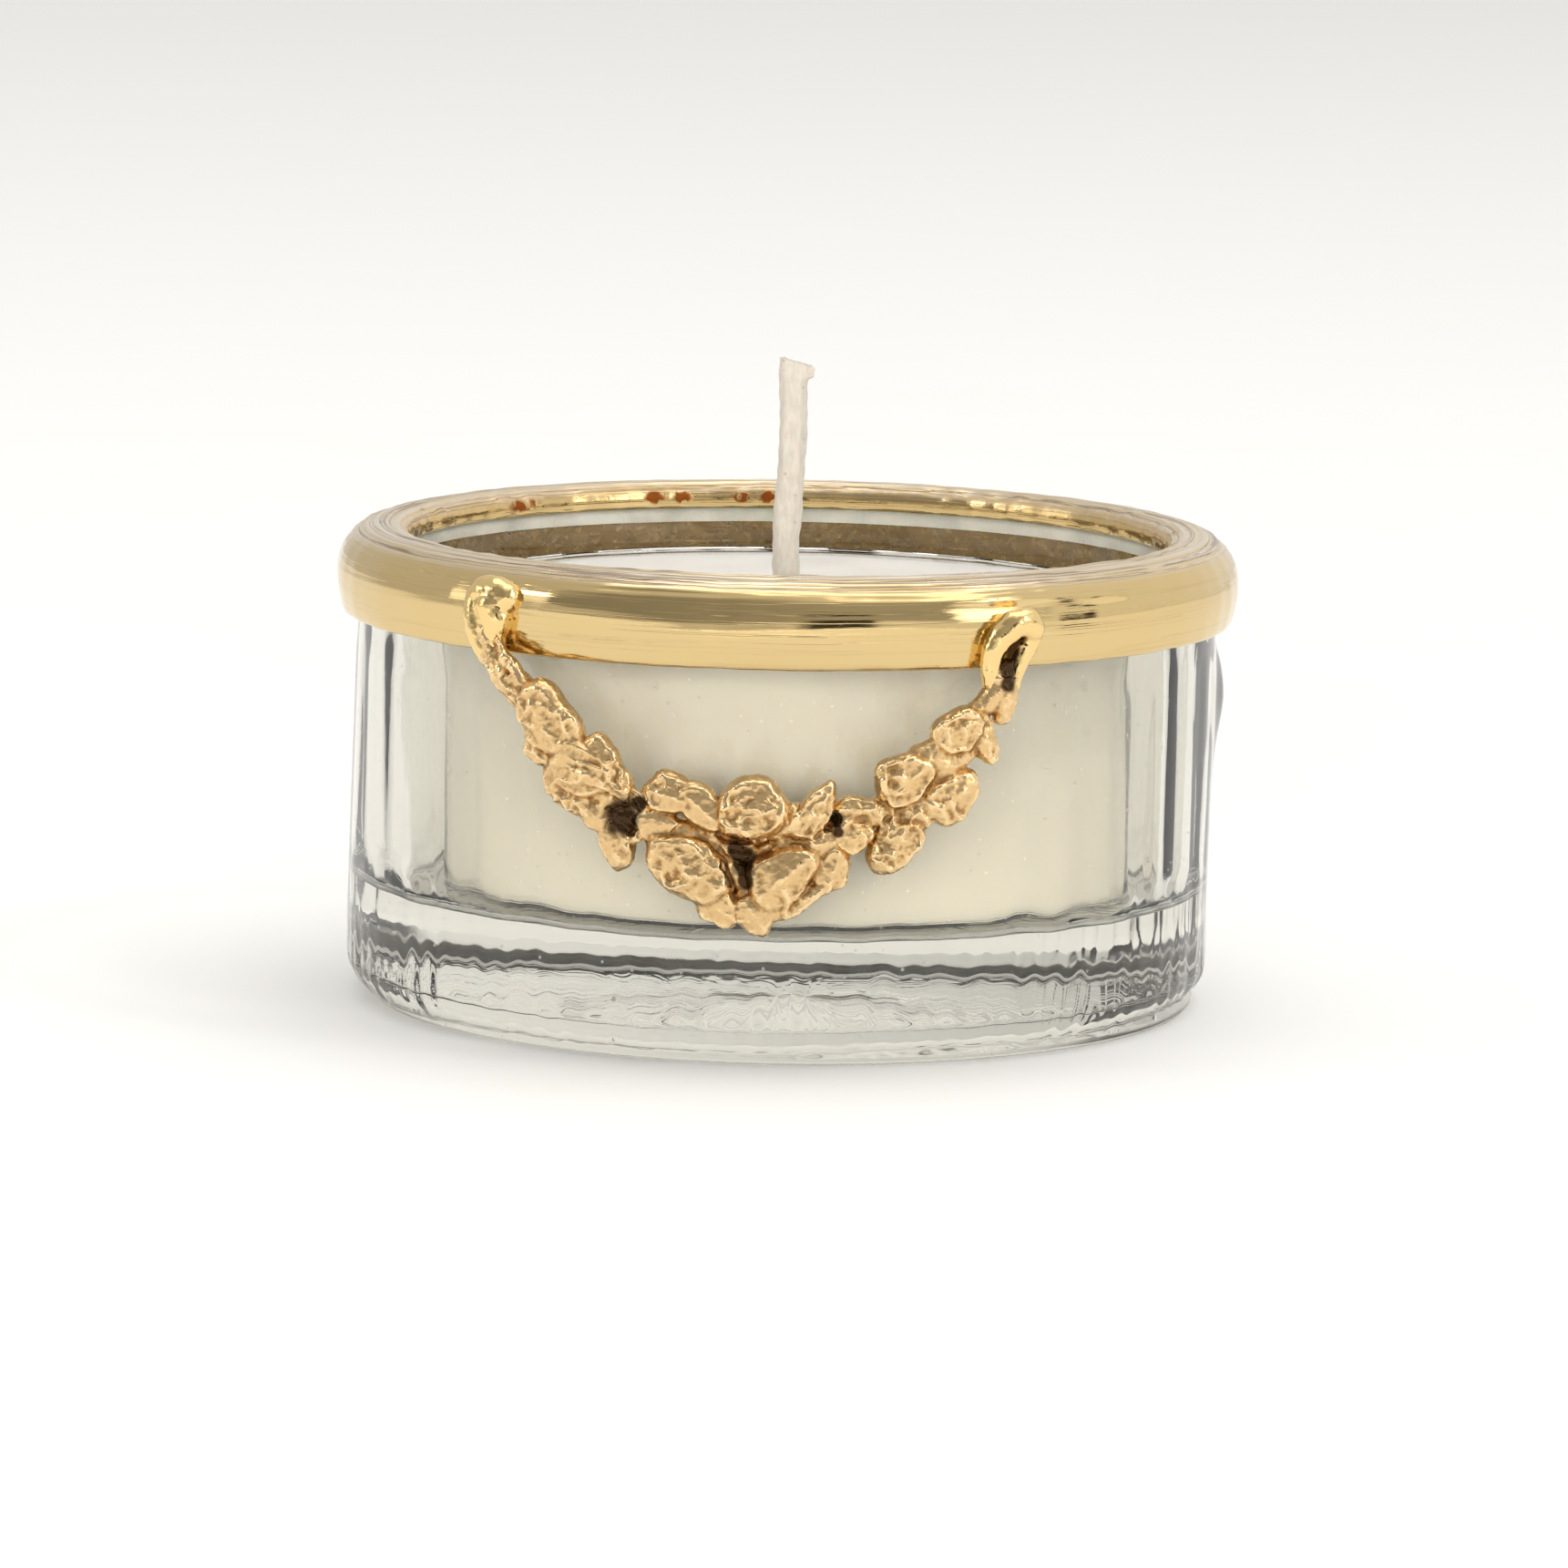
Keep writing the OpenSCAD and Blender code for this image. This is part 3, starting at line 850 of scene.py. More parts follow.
def bead_chain(rows):
    """Closely spaced balls along a path of (degrees, height, stand, radius), as points and faces."""
    rows = np.array([(math.radians(a) * SHEET_R, b, c, d) for a, b, c, d in rows])
    length = np.append(0, np.cumsum(np.linalg.norm(np.diff(rows[:, :3], axis=0), axis=1)))
    where = np.linspace(0, length[-1], max(2, round(length[-1] / BEAD_STEP)))
    beads = np.column_stack([np.interp(where, length, rows[:, i]) for i in range(4)])
    ball = bmesh.new()
    bmesh.ops.create_icosphere(ball, subdivisions=3, radius=1)
    ball_points = np.array([v.co for v in ball.verts])
    ball_faces = [[v.index for v in f.verts] for f in ball.faces]
    ball.free()
    points = [bead[:3] + ball_points * bead[3] for bead in beads]
    faces = [[i + n * len(ball_points) for i in face] for n in range(len(beads)) for face in ball_faces]
    return np.vstack(points), faces


# %% Fuse, pit and bend
def fuse(name, parts, voxel, smooth_steps):
    """Joins closed meshes into one skin: voxel remesh in millimetres, then smoothing."""
    points = []
    faces = []
    for part_points, part_faces in parts:
        start = sum(len(p) for p in points)
        points.append(part_points)
        faces += [[i + start for i in face] for face in part_faces]
    piece = bake_down(name, np.vstack(points) / MM, faces)
    remesh = piece.modifiers.new("fuse", "REMESH")
    remesh.mode = "VOXEL"
    remesh.voxel_size = voxel
    smooth = piece.modifiers.new("soften", "SMOOTH")
    smooth.factor = 0.5
    smooth.iterations = smooth_steps
    fused = bpy.data.meshes.new_from_object(piece.evaluated_get(bpy.context.evaluated_depsgraph_get()))
    piece.modifiers.clear()
    piece.data = fused
    return piece


def flat_points(piece):
    """The points of a piece that is still flat and in millimetres."""
    flat = np.zeros(len(piece.data.vertices) * 3)
    piece.data.vertices.foreach_get("co", flat)
    return flat.reshape(-1, 3)


def normals_of(piece):
    """The piece's point normals."""
    flat = np.zeros(len(piece.data.vertices) * 3, np.float32)
    piece.data.vertex_normals.foreach_get("vector", flat)
    return flat.reshape(-1, 3).astype(float)


def hollows(piece, steps, depth):
    """1 in the creases of a mesh and 0 on its crests: how far a smoothed copy stands above it, over depth."""
    points = flat_points(piece)
    edges = np.zeros(len(piece.data.edges) * 2, np.int32)
    piece.data.edges.foreach_get("vertices", edges)
    a, b = edges.reshape(-1, 2).T
    count = np.bincount(a, minlength=len(points)) + np.bincount(b, minlength=len(points))
    soft = points.copy()
    for _ in range(steps):
        for i in range(3):
            near = np.bincount(a, soft[b, i], len(points)) + np.bincount(b, soft[a, i], len(points))
            soft[:, i] = near / count
    rise = np.einsum("ij,ij->i", soft - points, normals_of(piece))
    return np.clip(rise / depth, -1, 1)


def fold(piece, scale, depth, seed):
    """Raises soft-backed, sharp-edged folds in patches, as wax gets from being pressed, in mm."""
    points = flat_points(piece)
    places = [Vector(p) * scale + Vector((seed, 0, 0)) for p in points]
    bent = [p + 0.7 * noise.noise_vector(p * 0.9) for p in places]
    crease = np.abs([noise.noise(p) for p in bent])
    patch = ramp(np.array([noise.noise(p * 0.55 + Vector((0, seed, 0))) for p in places]), -0.25, 0.25)
    height = 0.6 * ((0.5 - np.minimum(crease, 0.5)) / 0.5) ** 1.3 - 0.3
    height += 0.15 * np.array([noise.fractal(p * 2.6, 0.6, 2.1, 3) for p in places])
    outward = normals_of(piece)
    facing = ramp(outward[:, 2], 0.1, 0.7)
    moved = points + outward * (height * patch * facing * depth)[:, None]
    piece.data.vertices.foreach_set("co", moved.ravel())
    piece.data.update()


def pit(piece, scale, depth, seed):
    """Pushes each point along its normal by layered noise, in mm."""
    points = flat_points(piece)
    heights = np.array([noise.fractal(Vector(p) * scale + Vector((seed, 0, 0)), 0.8, 2.1, 4) for p in points])
    moved = points + normals_of(piece) * (heights * depth)[:, None]
    piece.data.vertices.foreach_set("co", moved.ravel())
    piece.data.update()


def bend_round_cup(piece):
    """Wraps the flat sheet round the cup's axis and turns millimetres into metres."""
    x, y, z = flat_points(piece).T
    away = SHEET_R + z
    bent = np.stack([away * np.sin(x / SHEET_R), -away * np.cos(x / SHEET_R), y], 1) * MM
    piece.data.vertices.foreach_set("co", bent.ravel())
    piece.data.update()
    piece.data.shade_smooth()


def near_spots(piece, spots):
    """A mask that is 1 at each spot of (degrees, height, reach) on the flat sheet, and fades at its reach."""
    points = flat_points(piece)
    mask = np.zeros(len(points))
    ragged = np.array([1 + 0.2 * noise.noise(Vector(p) * 1.6) for p in points])
    for degrees, up, reach in spots:
        away = np.hypot(points[:, 0] - math.radians(degrees) * SHEET_R, points[:, 1] - up) * ragged
        mask = mask + 1 - ramp(away, 0.4 * reach, 1.3 * reach)
    return np.minimum(mask, 1)


# %% Leaf rows of the three castings
# Degrees, height, length, width, lean in degrees, stand, rim, veins.
left_leaves = [
    (-28.3, 19.6, 2.6, 1.9, -50, 0.05, 0.10, 0.04),
    (-24.2, 18.4, 4.7, 3.2, -52, 0.25, 0.22, 0.13),
    (-23.9, 19.5, 2.7, 1.6, -38, 0.40, 0.12, 0.06),
    (-20.9, 18.0, 2.6, 1.5, -58, 0.45, 0.12, 0.06),
    (-18.9, 15.9, 4.6, 3.2, -18, 0.30, 0.22, 0.14),
    (-16.9, 16.9, 2.5, 1.6, -36, 0.45, 0.12, 0.06),
    (-14.6, 15.3, 2.3, 1.4, -58, 0.40, 0.10, 0.06),
    (-21.2, 14.8, 4.3, 2.2, -46, 0.10, 0.15, 0.11),
    (-25.4, 16.6, 2.0, 1.4, -35, 0.05, 0.10, 0.04),
    (-17.4, 13.5, 2.8, 1.8, -30, 0.00, 0.08, 0.04),
    (-15.1, 12.1, 3.0, 2.1, -75, 0.10, 0.14, 0.06),
]
centre_leaves = [
    (-8.2, 14.9, 3.3, 2.2, -15, 0.25, 0.20, 0.12),
    (-4.6, 14.3, 3.2, 2.1, -42, 0.30, 0.18, 0.12),
    (-9.9, 13.2, 2.4, 1.9, 10, 0.20, 0.14, 0.04),
    (1.4, 14.4, 4.0, 3.4, 0, 0.50, 0.30, 0.12),
    (5.0, 13.7, 2.6, 1.8, 40, 0.20, 0.14, 0.08),
    (8.4, 14.2, 3.8, 1.9, 58, 0.35, 0.20, 0.12),
    (0.8, 12.1, 5.4, 2.6, 4, -1.00, 0.04, 0.02),
    (9.0, 12.4, 3.0, 2.0, 20, 0.00, 0.10, 0.05),
    (-6.0, 11.0, 5.3, 3.4, -28, 0.30, 0.26, 0.14),
    (5.0, 10.8, 4.5, 3.1, 42, 0.35, 0.24, 0.13),
    (6.4, 9.4, 3.9, 1.3, 30, 0.30, 0.12, 0.05),
    (-2.6, 9.0, 2.6, 2.2, -38, 0.15, 0.14, 0.05),
    (1.8, 8.7, 2.6, 2.2, -60, 0.15, 0.14, 0.06),
    (10.6, 11.1, 2.7, 2.0, 68, 0.10, 0.14, 0.06),
]
right_leaves = [
    (13.2, 14.4, 2.4, 1.4, 9, 0.15, 0.12, 0.05),
    (13.0, 13.0, 2.4, 2.0, 9, 0.20, 0.16, 0.05),
    (18.4, 12.8, 4.4, 2.6, 61, 0.15, 0.16, 0.12),
    (20.9, 14.4, 2.8, 2.0, 50, 0.10, 0.10, 0.06),
    (19.0, 16.0, 3.6, 2.8, 32, 0.40, 0.26, 0.10),
    (24.7, 14.9, 3.5, 2.8, 38, 0.25, 0.20, 0.12),
    (22.8, 16.8, 3.0, 2.2, -12, 0.15, 0.12, 0.08),
    (25.4, 18.5, 3.1, 2.5, 38, 0.40, 0.26, 0.10),
    (28.6, 18.1, 3.2, 1.6, -73, 0.20, 0.12, 0.09),
]

# Stems and knots: degrees, height, stand, radius.
left_stems = [
    [(-34.2, 23.0, -0.05, 0.62), (-32.9, 21.7, 0.0, 0.72), (-31.0, 20.5, 0.0, 0.74), (-28.6, 19.4, 0.0, 0.7)],
    [(-31.6, 22.3, 0.2, 0.30), (-30.6, 21.6, 0.35, 0.36), (-29.4, 21.2, 0.3, 0.34), (-28.2, 20.4, 0.3, 0.36)],
    [(-27.5, 19.4, 0.0, 0.6), (-22.5, 17.2, 0.05, 0.8), (-17.5, 14.9, 0.05, 0.8), (-12.6, 13.9, -0.1, 0.6)],
]
centre_stems = [
    [(-12.6, 14.0, -0.1, 0.6), (-6.0, 12.6, 0.0, 0.8), (1.5, 11.8, -0.4, 0.6), (8.0, 12.2, 0.0, 0.8),
     (11.6, 13.2, -0.1, 0.5)],
    [(-4.0, 13.0, 0.0, 0.7), (-3.0, 11.4, -0.2, 0.7), (0.9, 10.2, -0.35, 0.7), (0.2, 9.0, -0.1, 0.7)],
    [(5.0, 13.2, 0.0, 0.7), (4.5, 11.4, -0.1, 0.8), (3.0, 9.6, -0.1, 0.7)],
]
right_stems = [
    [(11.4, 13.5, -0.1, 0.6), (17.0, 14.4, 0.0, 0.8), (22.0, 15.8, 0.0, 0.8), (27.0, 17.4, 0.0, 0.65)],
    [(27.6, 19.1, -0.05, 0.58), (29.4, 19.8, 0.0, 0.66), (30.9, 20.6, 0.05, 0.74), (31.3, 21.2, 0.0, 0.66)],
    [(31.4, 19.1, 0.0, 0.55), (31.5, 20.0, 0.1, 0.78), (31.6, 20.9, 0.05, 0.74), (31.8, 21.7, 0.0, 0.55)],
]

# Where dark oxide and flux stayed, and, in the last four rows, painted shade and oxide under the right lug's
# finger: degrees, height, reach.
solder_eye = (-14.1, 13.6)
oxide_and_shade_spots = [
    (*solder_eye, 1.22), (-12.0, 14.4, 0.45), (0.2, 11.8, 0.70), (0.5, 11.1, 0.65), (0.7, 10.4, 0.50),
    (-1.0, 12.2, 0.45), (10.9, 13.9, 0.45), (11.1, 13.2, 0.35), (33.3, 23.1, 0.40), (32.4, 22.5, 0.50),
    (31.7, 21.7, 0.62), (31.4, 20.9, 0.55),
]


# %% [markdown]
# A solder joint that was never cleaned out is the garland's one deep mark: a round pocket with a
# raised lip, filled with glassy dark flux. It is modelled as a ring of beads round the pocket and
# a low dome inside it.

# %% Cast the garland
POCKET_R = 1.32
POCKET_DOME = 1.05


def solder_pocket(degrees, up):
    """A ring of beads round a low dome, on the flat sheet."""
    steps = np.linspace(0, TURN, 25)
    reach = math.degrees(1 / SHEET_R) * POCKET_R
    rim = [(degrees + reach * math.cos(a), up + POCKET_R * math.sin(a), 0.42, 0.30) for a in steps]
    dome = [(degrees, up, -0.25, POCKET_DOME), (degrees + 0.3, up, -0.25, POCKET_DOME)]
    return [bead_chain(rim), bead_chain(dome)]


CAST_VOXEL = 0.062


def cast_spray(name, leaves, stems, seed, extra=()):
    """One casting: leaves and stems fused, pitted, masked and bent round the cup."""
    parts = [(lay_leaf(row, seed + n), LEAF_FACES) for n, row in enumerate(leaves)]
    parts += [bead_chain(rows) for rows in stems]
    parts += list(extra)
    piece = fuse(name, parts, CAST_VOXEL, 8)
    fold(piece, 0.78, 0.36, seed)
    pit(piece, 0.6, 0.075, seed + 1)
    pit(piece, 4.5, 0.018, seed + 3)
    paint(piece, "hollow", hollows(piece, 16, 0.06))
    paint(piece, "oxide_and_shade", near_spots(piece, oxide_and_shade_spots))
    bend_round_cup(piece)
    print(f"{name}: {len(leaves)} leaves, {len(piece.data.polygons)} faces")
    return piece


left_spray = cast_spray("left_casting", left_leaves, left_stems, 101, solder_pocket(*solder_eye))
centre_spray = cast_spray("centre_casting", centre_leaves, centre_stems, 201)
right_spray = cast_spray("right_casting", right_leaves, right_stems, 301)

# %% Cast gilt
CAST_GILT = colour("#e2bf8a")
# The second colour is painted shade for the creases.
CAST_SHADE = colour("#91693a")
# The darkest colour is oxide; under the right lug's finger it is painted shade as well.
OXIDE_AND_SHADE = colour("#3d2913")

cast_gilt, tree, shader = new_material("cast_gilt")
grain = use_group(tree, cast_grain, Scale=2600.0, Pits=0.35)
coarse = use_group(tree, cast_grain, Scale=700.0, Pits=0.0)
hollow_mask = painted(tree, "hollow")
# Creases, found from the hollow mask, are painted a darker gilt: painted shade.
deep = fade(tree, maths(tree, "ADD", hollow_mask, maths(tree, "MULTIPLY", coarse["Height"], 0.3)), 0.1, 0.9)
base = blend_colours(tree, maths(tree, "MULTIPLY", deep, 0.8), CAST_GILT, CAST_SHADE)
# Crests are painted a pale gilt, which is a painted highlight, and are also made glossier.
edge_shine = fade(tree, hollow_mask, -0.15, -0.7)
base = blend_colours(tree, maths(tree, "MULTIPLY", edge_shine, 0.5), base, colour("#ffe4b4"))
broken = maths(tree, "MULTIPLY", coarse["Height"], 0.7)
# This darkens the oxide spots: oxide at the solder joints and eye, and painted shade with oxide under the
# right lug's finger.
dark = maths(tree, "ADD", maths(tree, "MULTIPLY", painted(tree, "oxide_and_shade"), 1.2), broken)
dark = fade(tree, dark, 0.55, 1.45)
base = blend_colours(tree, dark, base, OXIDE_AND_SHADE)
rough = maths(tree, "ADD", fade(tree, edge_shine, 0.0, 1.0, 0.31, 0.11), maths(tree, "MULTIPLY", deep, 0.10))
rough = maths(tree, "ADD", rough, maths(tree, "MULTIPLY", grain["Pit Mask"], 0.2))
rough = maths(tree, "SUBTRACT", rough, maths(tree, "MULTIPLY", dark, 0.18))
metal = fade(tree, dark, 0.0, 1.0, 1.0, 0.75)
soft = bump(tree, coarse["Height"], 0.00004, 0.4)
drive(tree, shader, Base_Color=base, Roughness=rough, Metallic=metal)
drive(tree, shader, Normal=bump(tree, grain["Height"], 0.00002, 0.8, soft))

for piece, cad_name in (
    (left_spray, "left_spray"),
    (centre_spray, "centre_spray"),
    (right_spray, "right_spray"),
):
    piece.data.materials.append(cast_gilt)
    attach(piece, "collar")
    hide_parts(cad_name)

# %% [markdown]
# ## The lugs
#
# Two runs of solder hold the garland to the collar. The left one is a round drop that flowed down
# over the stem. The right one is a finger that rises, curls over and comes down again, with the
# groove under it painted dark: painted shade and oxide. Molten metal has no corners, so both are
# chains of overlapping balls, fused and smoothed much more than the castings, and pitted only a
# little.

# %% Build the lugs
left_lug_runs = [
    [(-35.6, 24.5, -0.40, 0.80), (-34.6, 24.8, -0.45, 0.88), (-33.2, 24.8, -0.55, 0.92),
     (-31.9, 24.5, -0.65, 0.90)],
    [(-35.9, 24.2, -0.20, 0.68), (-35.8, 23.6, -0.08, 0.70), (-35.2, 22.9, 0.0, 0.72),
     (-34.4, 22.2, 0.05, 0.68), (-33.4, 21.4, 0.08, 0.58)],
    [(-33.4, 24.0, -0.30, 0.98), (-32.9, 23.3, -0.32, 0.94), (-33.2, 22.6, -0.22, 0.80),
     (-32.8, 21.8, -0.08, 0.60)],
    [(-34.6, 23.9, -0.35, 0.85), (-34.2, 23.0, -0.25, 0.80), (-33.6, 22.1, -0.12, 0.66)],
]
right_lug_runs = [
    [(30.0, 20.9, -0.05, 0.52), (29.8, 21.7, -0.05, 0.58), (30.1, 22.6, 0.0, 0.64), (31.1, 23.4, 0.10, 0.72),
     (32.6, 23.95, 0.18, 0.80), (34.2, 24.05, 0.15, 0.84), (35.0, 23.75, 0.05, 0.78)],
    [(35.2, 23.4, -0.28, 0.80), (34.6, 22.7, -0.30, 0.76), (33.7, 22.0, -0.22, 0.66),
     (33.0, 21.3, -0.12, 0.58), (32.6, 20.7, -0.02, 0.54)],
    [(31.4, 22.7, -0.55, 0.68), (33.2, 23.0, -0.50, 0.72), (32.2, 22.0, -0.48, 0.66),
     (31.6, 21.1, -0.35, 0.60)],
]


SOLDER_VOXEL = 0.07


def pour_lug(name, runs, cad_name):
    """One run of solder, fused and smoothed, bent round the cup."""
    piece = fuse(name, [bead_chain(rows) for rows in runs], SOLDER_VOXEL, 12)
    pit(piece, 0.9, 0.05, len(runs))
    paint(piece, "hollow", hollows(piece, 14, 0.06))
    paint(piece, "oxide_and_shade", near_spots(piece, oxide_and_shade_spots))
    bend_round_cup(piece)
    piece.data.materials.append(solder_gilt)
    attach(piece, "collar")
    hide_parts(cad_name)
    print(f"{name}: {len(piece.data.polygons)} faces")


solder_gilt, tree, shader = new_material("solder_gilt", Metallic=1.0)
grain = use_group(tree, cast_grain, Scale=1400.0, Pits=0.3)
film = use_group(tree, handled_film, Scale=300.0, Cover=0.5, Dust=0.2)
# The darker gilt goes into the creases, where it is painted shade, and onto the oxide spots.
deep = fade(tree, maths(tree, "ADD", painted(tree, "hollow"), painted(tree, "oxide_and_shade")), 0.25, 0.95)
base = blend_colours(tree, deep, colour("#efd091"), colour("#8a6430"))
# The oxide spots turn dark brown; under the right finger this is painted shade with oxide.
base = blend_colours(tree, fade(tree, painted(tree, "oxide_and_shade"), 0.5, 1.0), base, OXIDE_AND_SHADE)
drive(tree, shader, Base_Color=base, Normal=bump(tree, grain["Height"], 0.000015, 0.6))
drive(tree, shader, Roughness=maths(tree, "ADD", maths(tree, "MULTIPLY", film["Film"], 0.15), 0.11))

pour_lug("left_solder_lug", left_lug_runs, "left_lug")
pour_lug("right_solder_lug", right_lug_runs, "right_lug")

# %% [markdown]
# ## The tealight
#
# A tealight is poured wax in a thin clear cup, with a cotton wick that a small tin tab holds
# upright. All four pieces are made, although the wax hides the tab and most of the wick. The wax
# stands a hair inside its cup, because two surfaces in the same place flicker in a render.

# %% Clear cup
WALL = 0.35
WAX_GAP = 0.06

cup_wall = smooth_outline([
    (0, LIGHT_FOOT + 0.20), (5, LIGHT_FOOT + 0.18), (12, LIGHT_FOOT + 0.04),
    (LIGHT_R - 1.0, LIGHT_FOOT + 0.01), (LIGHT_R - 0.35, LIGHT_FOOT + 0.06),
    (LIGHT_R - 0.10, LIGHT_FOOT + 0.32), (LIGHT_R - 0.04, LIGHT_FOOT + 1.0),
    (LIGHT_R - 0.02, LIGHT_FOOT + 8), (LIGHT_R - 0.01, LIGHT_TOP - 0.6), (LIGHT_R, LIGHT_TOP - 0.16),
    (LIGHT_R - 0.10, LIGHT_TOP), (LIGHT_R - WALL, LIGHT_TOP - 0.10), (LIGHT_R - WALL, LIGHT_TOP - 0.8),
    (LIGHT_R - WALL - 0.01, LIGHT_FOOT + 8), (LIGHT_R - WALL - 0.03, LIGHT_FOOT + 1.1),
    (LIGHT_R - WALL - 0.14, LIGHT_FOOT + 0.46), (LIGHT_R - WALL - 0.7, LIGHT_FOOT + 0.31),
    (12, LIGHT_FOOT + 0.30), (5, LIGHT_FOOT + 0.31), (0, LIGHT_FOOT + 0.31),
], 0.2)
cup_wall[[0, -1], 0] = 0
flow_lines = wave_field(31, 14, (3, 40), 0.1, 0.008)


def clear_relief(angle, r, z, out_r, out_z):
    """Faint flow lines all over the moulded cup, in mm."""
    return wave_height(flow_lines, angle, z)


clear_cup = spin("clear_cup", cup_wall, 360, clear_relief)

clear_plastic, tree, shader = new_material(
    "clear_plastic",
    Base_Color=colour("#fbfaf7"),
    Transmission_Weight=1.0,
    IOR=1.49,
)
film = use_group(tree, handled_film, Scale=160.0, Cover=0.05, Dust=0.3)
drive(tree, shader, Roughness=maths(tree, "ADD", maths(tree, "ADD", film["Film"], film["Specks"]), 0.02))
place = node(tree, "ShaderNodeTexCoord").outputs["Object"]
flow = node(tree, "ShaderNodeTexNoise", Vector=place, Scale=500.0, Detail=2.0).outputs["Fac"]
drive(tree, shader, Normal=bump(tree, flow, 0.000008, 0.5))
clear_to_lamps(tree, shader, "#fffefb")
clear_cup.data.materials.append(clear_plastic)
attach(clear_cup, "candle")
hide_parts("tealight_cup")

# %% Wax
WICK_R = 0.76
wax_r = LIGHT_R - WALL - WAX_GAP
wax_foot = LIGHT_FOOT + 0.37
wax_outline = smooth_outline([
    (0, wax_foot), (8, wax_foot), (wax_r - 0.9, wax_foot), (wax_r - 0.22, wax_foot + 0.10),
    (wax_r - 0.06, wax_foot + 0.45), (wax_r - 0.02, wax_foot + 1.4), (wax_r, LIGHT_FOOT + 8),
    (wax_r, WAX_TOP - 0.55),
    (wax_r - 0.05, WAX_TOP - 0.12), (wax_r - 0.35, WAX_TOP - 0.02), (wax_r - 1.4, WAX_TOP - 0.06),
    (12, WAX_TOP - 0.10), (5, WAX_TOP - 0.09), (2.0, WAX_TOP - 0.05), (1.15, WAX_TOP + 0.12),
    (0.84, WAX_TOP + 0.42), (0.5, WAX_TOP + 0.46), (0, WAX_TOP + 0.46),
], 0.16)
wax_outline[[0, -1], 0] = 0
pour_waves = wave_field(41, 10, (1, 9), 0.35, 0.018)
side_waves = wave_field(42, 12, (3, 30), 0.4, 0.006)


def wax_relief(angle, r, z, out_r, out_z):
    """A slightly uneven poured top, and faint shrink marks on the side, in mm."""
    on_top = ramp(out_z, 0.6, 0.95) * ramp(r, 1.0, 4.0)
    on_side = ramp(out_r, 0.5, 0.9)
    shrink = on_side * np.abs(wave_height(side_waves, angle, z))
    return on_top * wave_height(pour_waves, angle, r) - shrink


wax = spin("poured_wax", wax_outline, 480, wax_relief)
cream_wax, tree, shader = new_material(
    "cream_wax",
    Subsurface_Weight=0.6,
    Subsurface_Scale=0.0016,
    Subsurface_Radius=(1.0, 0.9, 0.75),
    IOR=1.44,
    Specular_IOR_Level=0.4,
)
place = node(tree, "ShaderNodeTexCoord").outputs["Object"]
cloudy = node(tree, "ShaderNodeTexNoise", Vector=place, Scale=140.0, Detail=5.0).outputs["Fac"]
film = use_group(tree, handled_film, Scale=220.0, Cover=1.0, Dust=0.35)
base = blend_colours(tree, fade(tree, cloudy, 0.3, 0.7), colour("#f0ece6"), colour("#f4f0ea"))
base = blend_colours(tree, film["Specks"], base, colour("#b7a88e"))
drive(tree, shader, Base_Color=base)
drive(tree, shader, Roughness=fade(tree, film["Film"], 0.0, 1.0, 0.34, 0.48))
drive(tree, shader, Normal=bump(tree, cloudy, 0.00005, 0.4))
wax.data.materials.append(cream_wax)
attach(wax, "candle")
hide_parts("wax_fill")

# %% [markdown]
# ## The wick
#
# The wick is braided cotton drawn through hot wax, so the braid shows only as soft bumps. It is a
# tube swept along a path that wanders a little. Its cut end was squeezed by the cutter: it is
# wider than the rest, and one side hooks over.

# %% Sweep the wick
WICK_ROWS = 420
WICK_SPOKES = 40
wick_path = [
    (0.00, 0.00, TAB_FOOT, 1.0), (0.00, 0.00, WAX_TOP, 1.0), (-0.16, 0.0, WAX_TOP + 2.4, 0.98),
    (-0.08, 0.05, WAX_TOP + 5.0, 1.0), (0.10, 0.02, WAX_TOP + 7.4, 0.96), (0.18, 0.0, WAX_TOP + 10.0, 1.0),
    (0.12, -0.02, WICK_TOP - 1.4, 1.02), (0.14, 0.0, WICK_TOP - 0.75, 1.08),
    (0.16, 0.0, WICK_TOP - 0.22, 1.12),
    (0.13, 0.0, WICK_TOP - 0.05, 1.05),
]
path = np.array(wick_path)
up = np.linspace(path[0, 2], path[-1, 2], WICK_ROWS)[:, None]
along_x, along_y, along_size = [np.interp(up[:, 0], path[:, 2], path[:, i])[:, None] for i in (0, 1, 3)]
for values in (along_x, along_y, along_size):
    padded = np.pad(values[:, 0], 12, mode="edge")
    values[:, 0] = np.convolve(padded, np.ones(25) / 25, mode="valid")
spoke = np.linspace(0, TURN, WICK_SPOKES, endpoint=False)[None, :]
BRAID = 2.1
braid = np.sin(3 * spoke + TURN * up / BRAID) * np.sin(3 * spoke - TURN * up / BRAID)
lumps = wave_height(wave_field(51, 14, (1, 5), 3.0, 0.022), spoke, up)
wick_radius = WICK_R * along_size * (1 + 0.045 * braid) + lumps
squeeze = ramp(up, WICK_TOP - 1.5, WICK_TOP - 0.4)
to_right = np.exp(-(((spoke - TURN / 4) / 0.55) ** 2))
hook = squeeze * 0.34 * to_right * ramp(up, WICK_TOP - 1.0, WICK_TOP - 0.55)
x = along_x + (wick_radius + hook) * np.sin(spoke)
y = along_y - wick_radius * np.cos(spoke) * (1 - 0.25 * squeeze)
slant = -0.28 * squeeze * (x - 0.1)
wick_points = np.stack([x, y, up + slant + 0 * x], 2)
top_ring = wick_points[-1]
centre = top_ring.mean(0)
frays = wave_height(wave_field(52, 8, (3, 12), 0, 0.05), spoke[0], 0)
caps = [centre + (top_ring - centre) * s + (0, 0, 0.10 * (1 - s)) for s in (0.85, 0.5)]
wick_points = np.vstack([wick_points, [caps[0] + frays[:, None] * (0, 0, 1)], [caps[1]]])
grid = np.arange((WICK_ROWS + 2) * WICK_SPOKES).reshape(WICK_ROWS + 2, WICK_SPOKES)
turned = np.roll(grid, -1, 1)
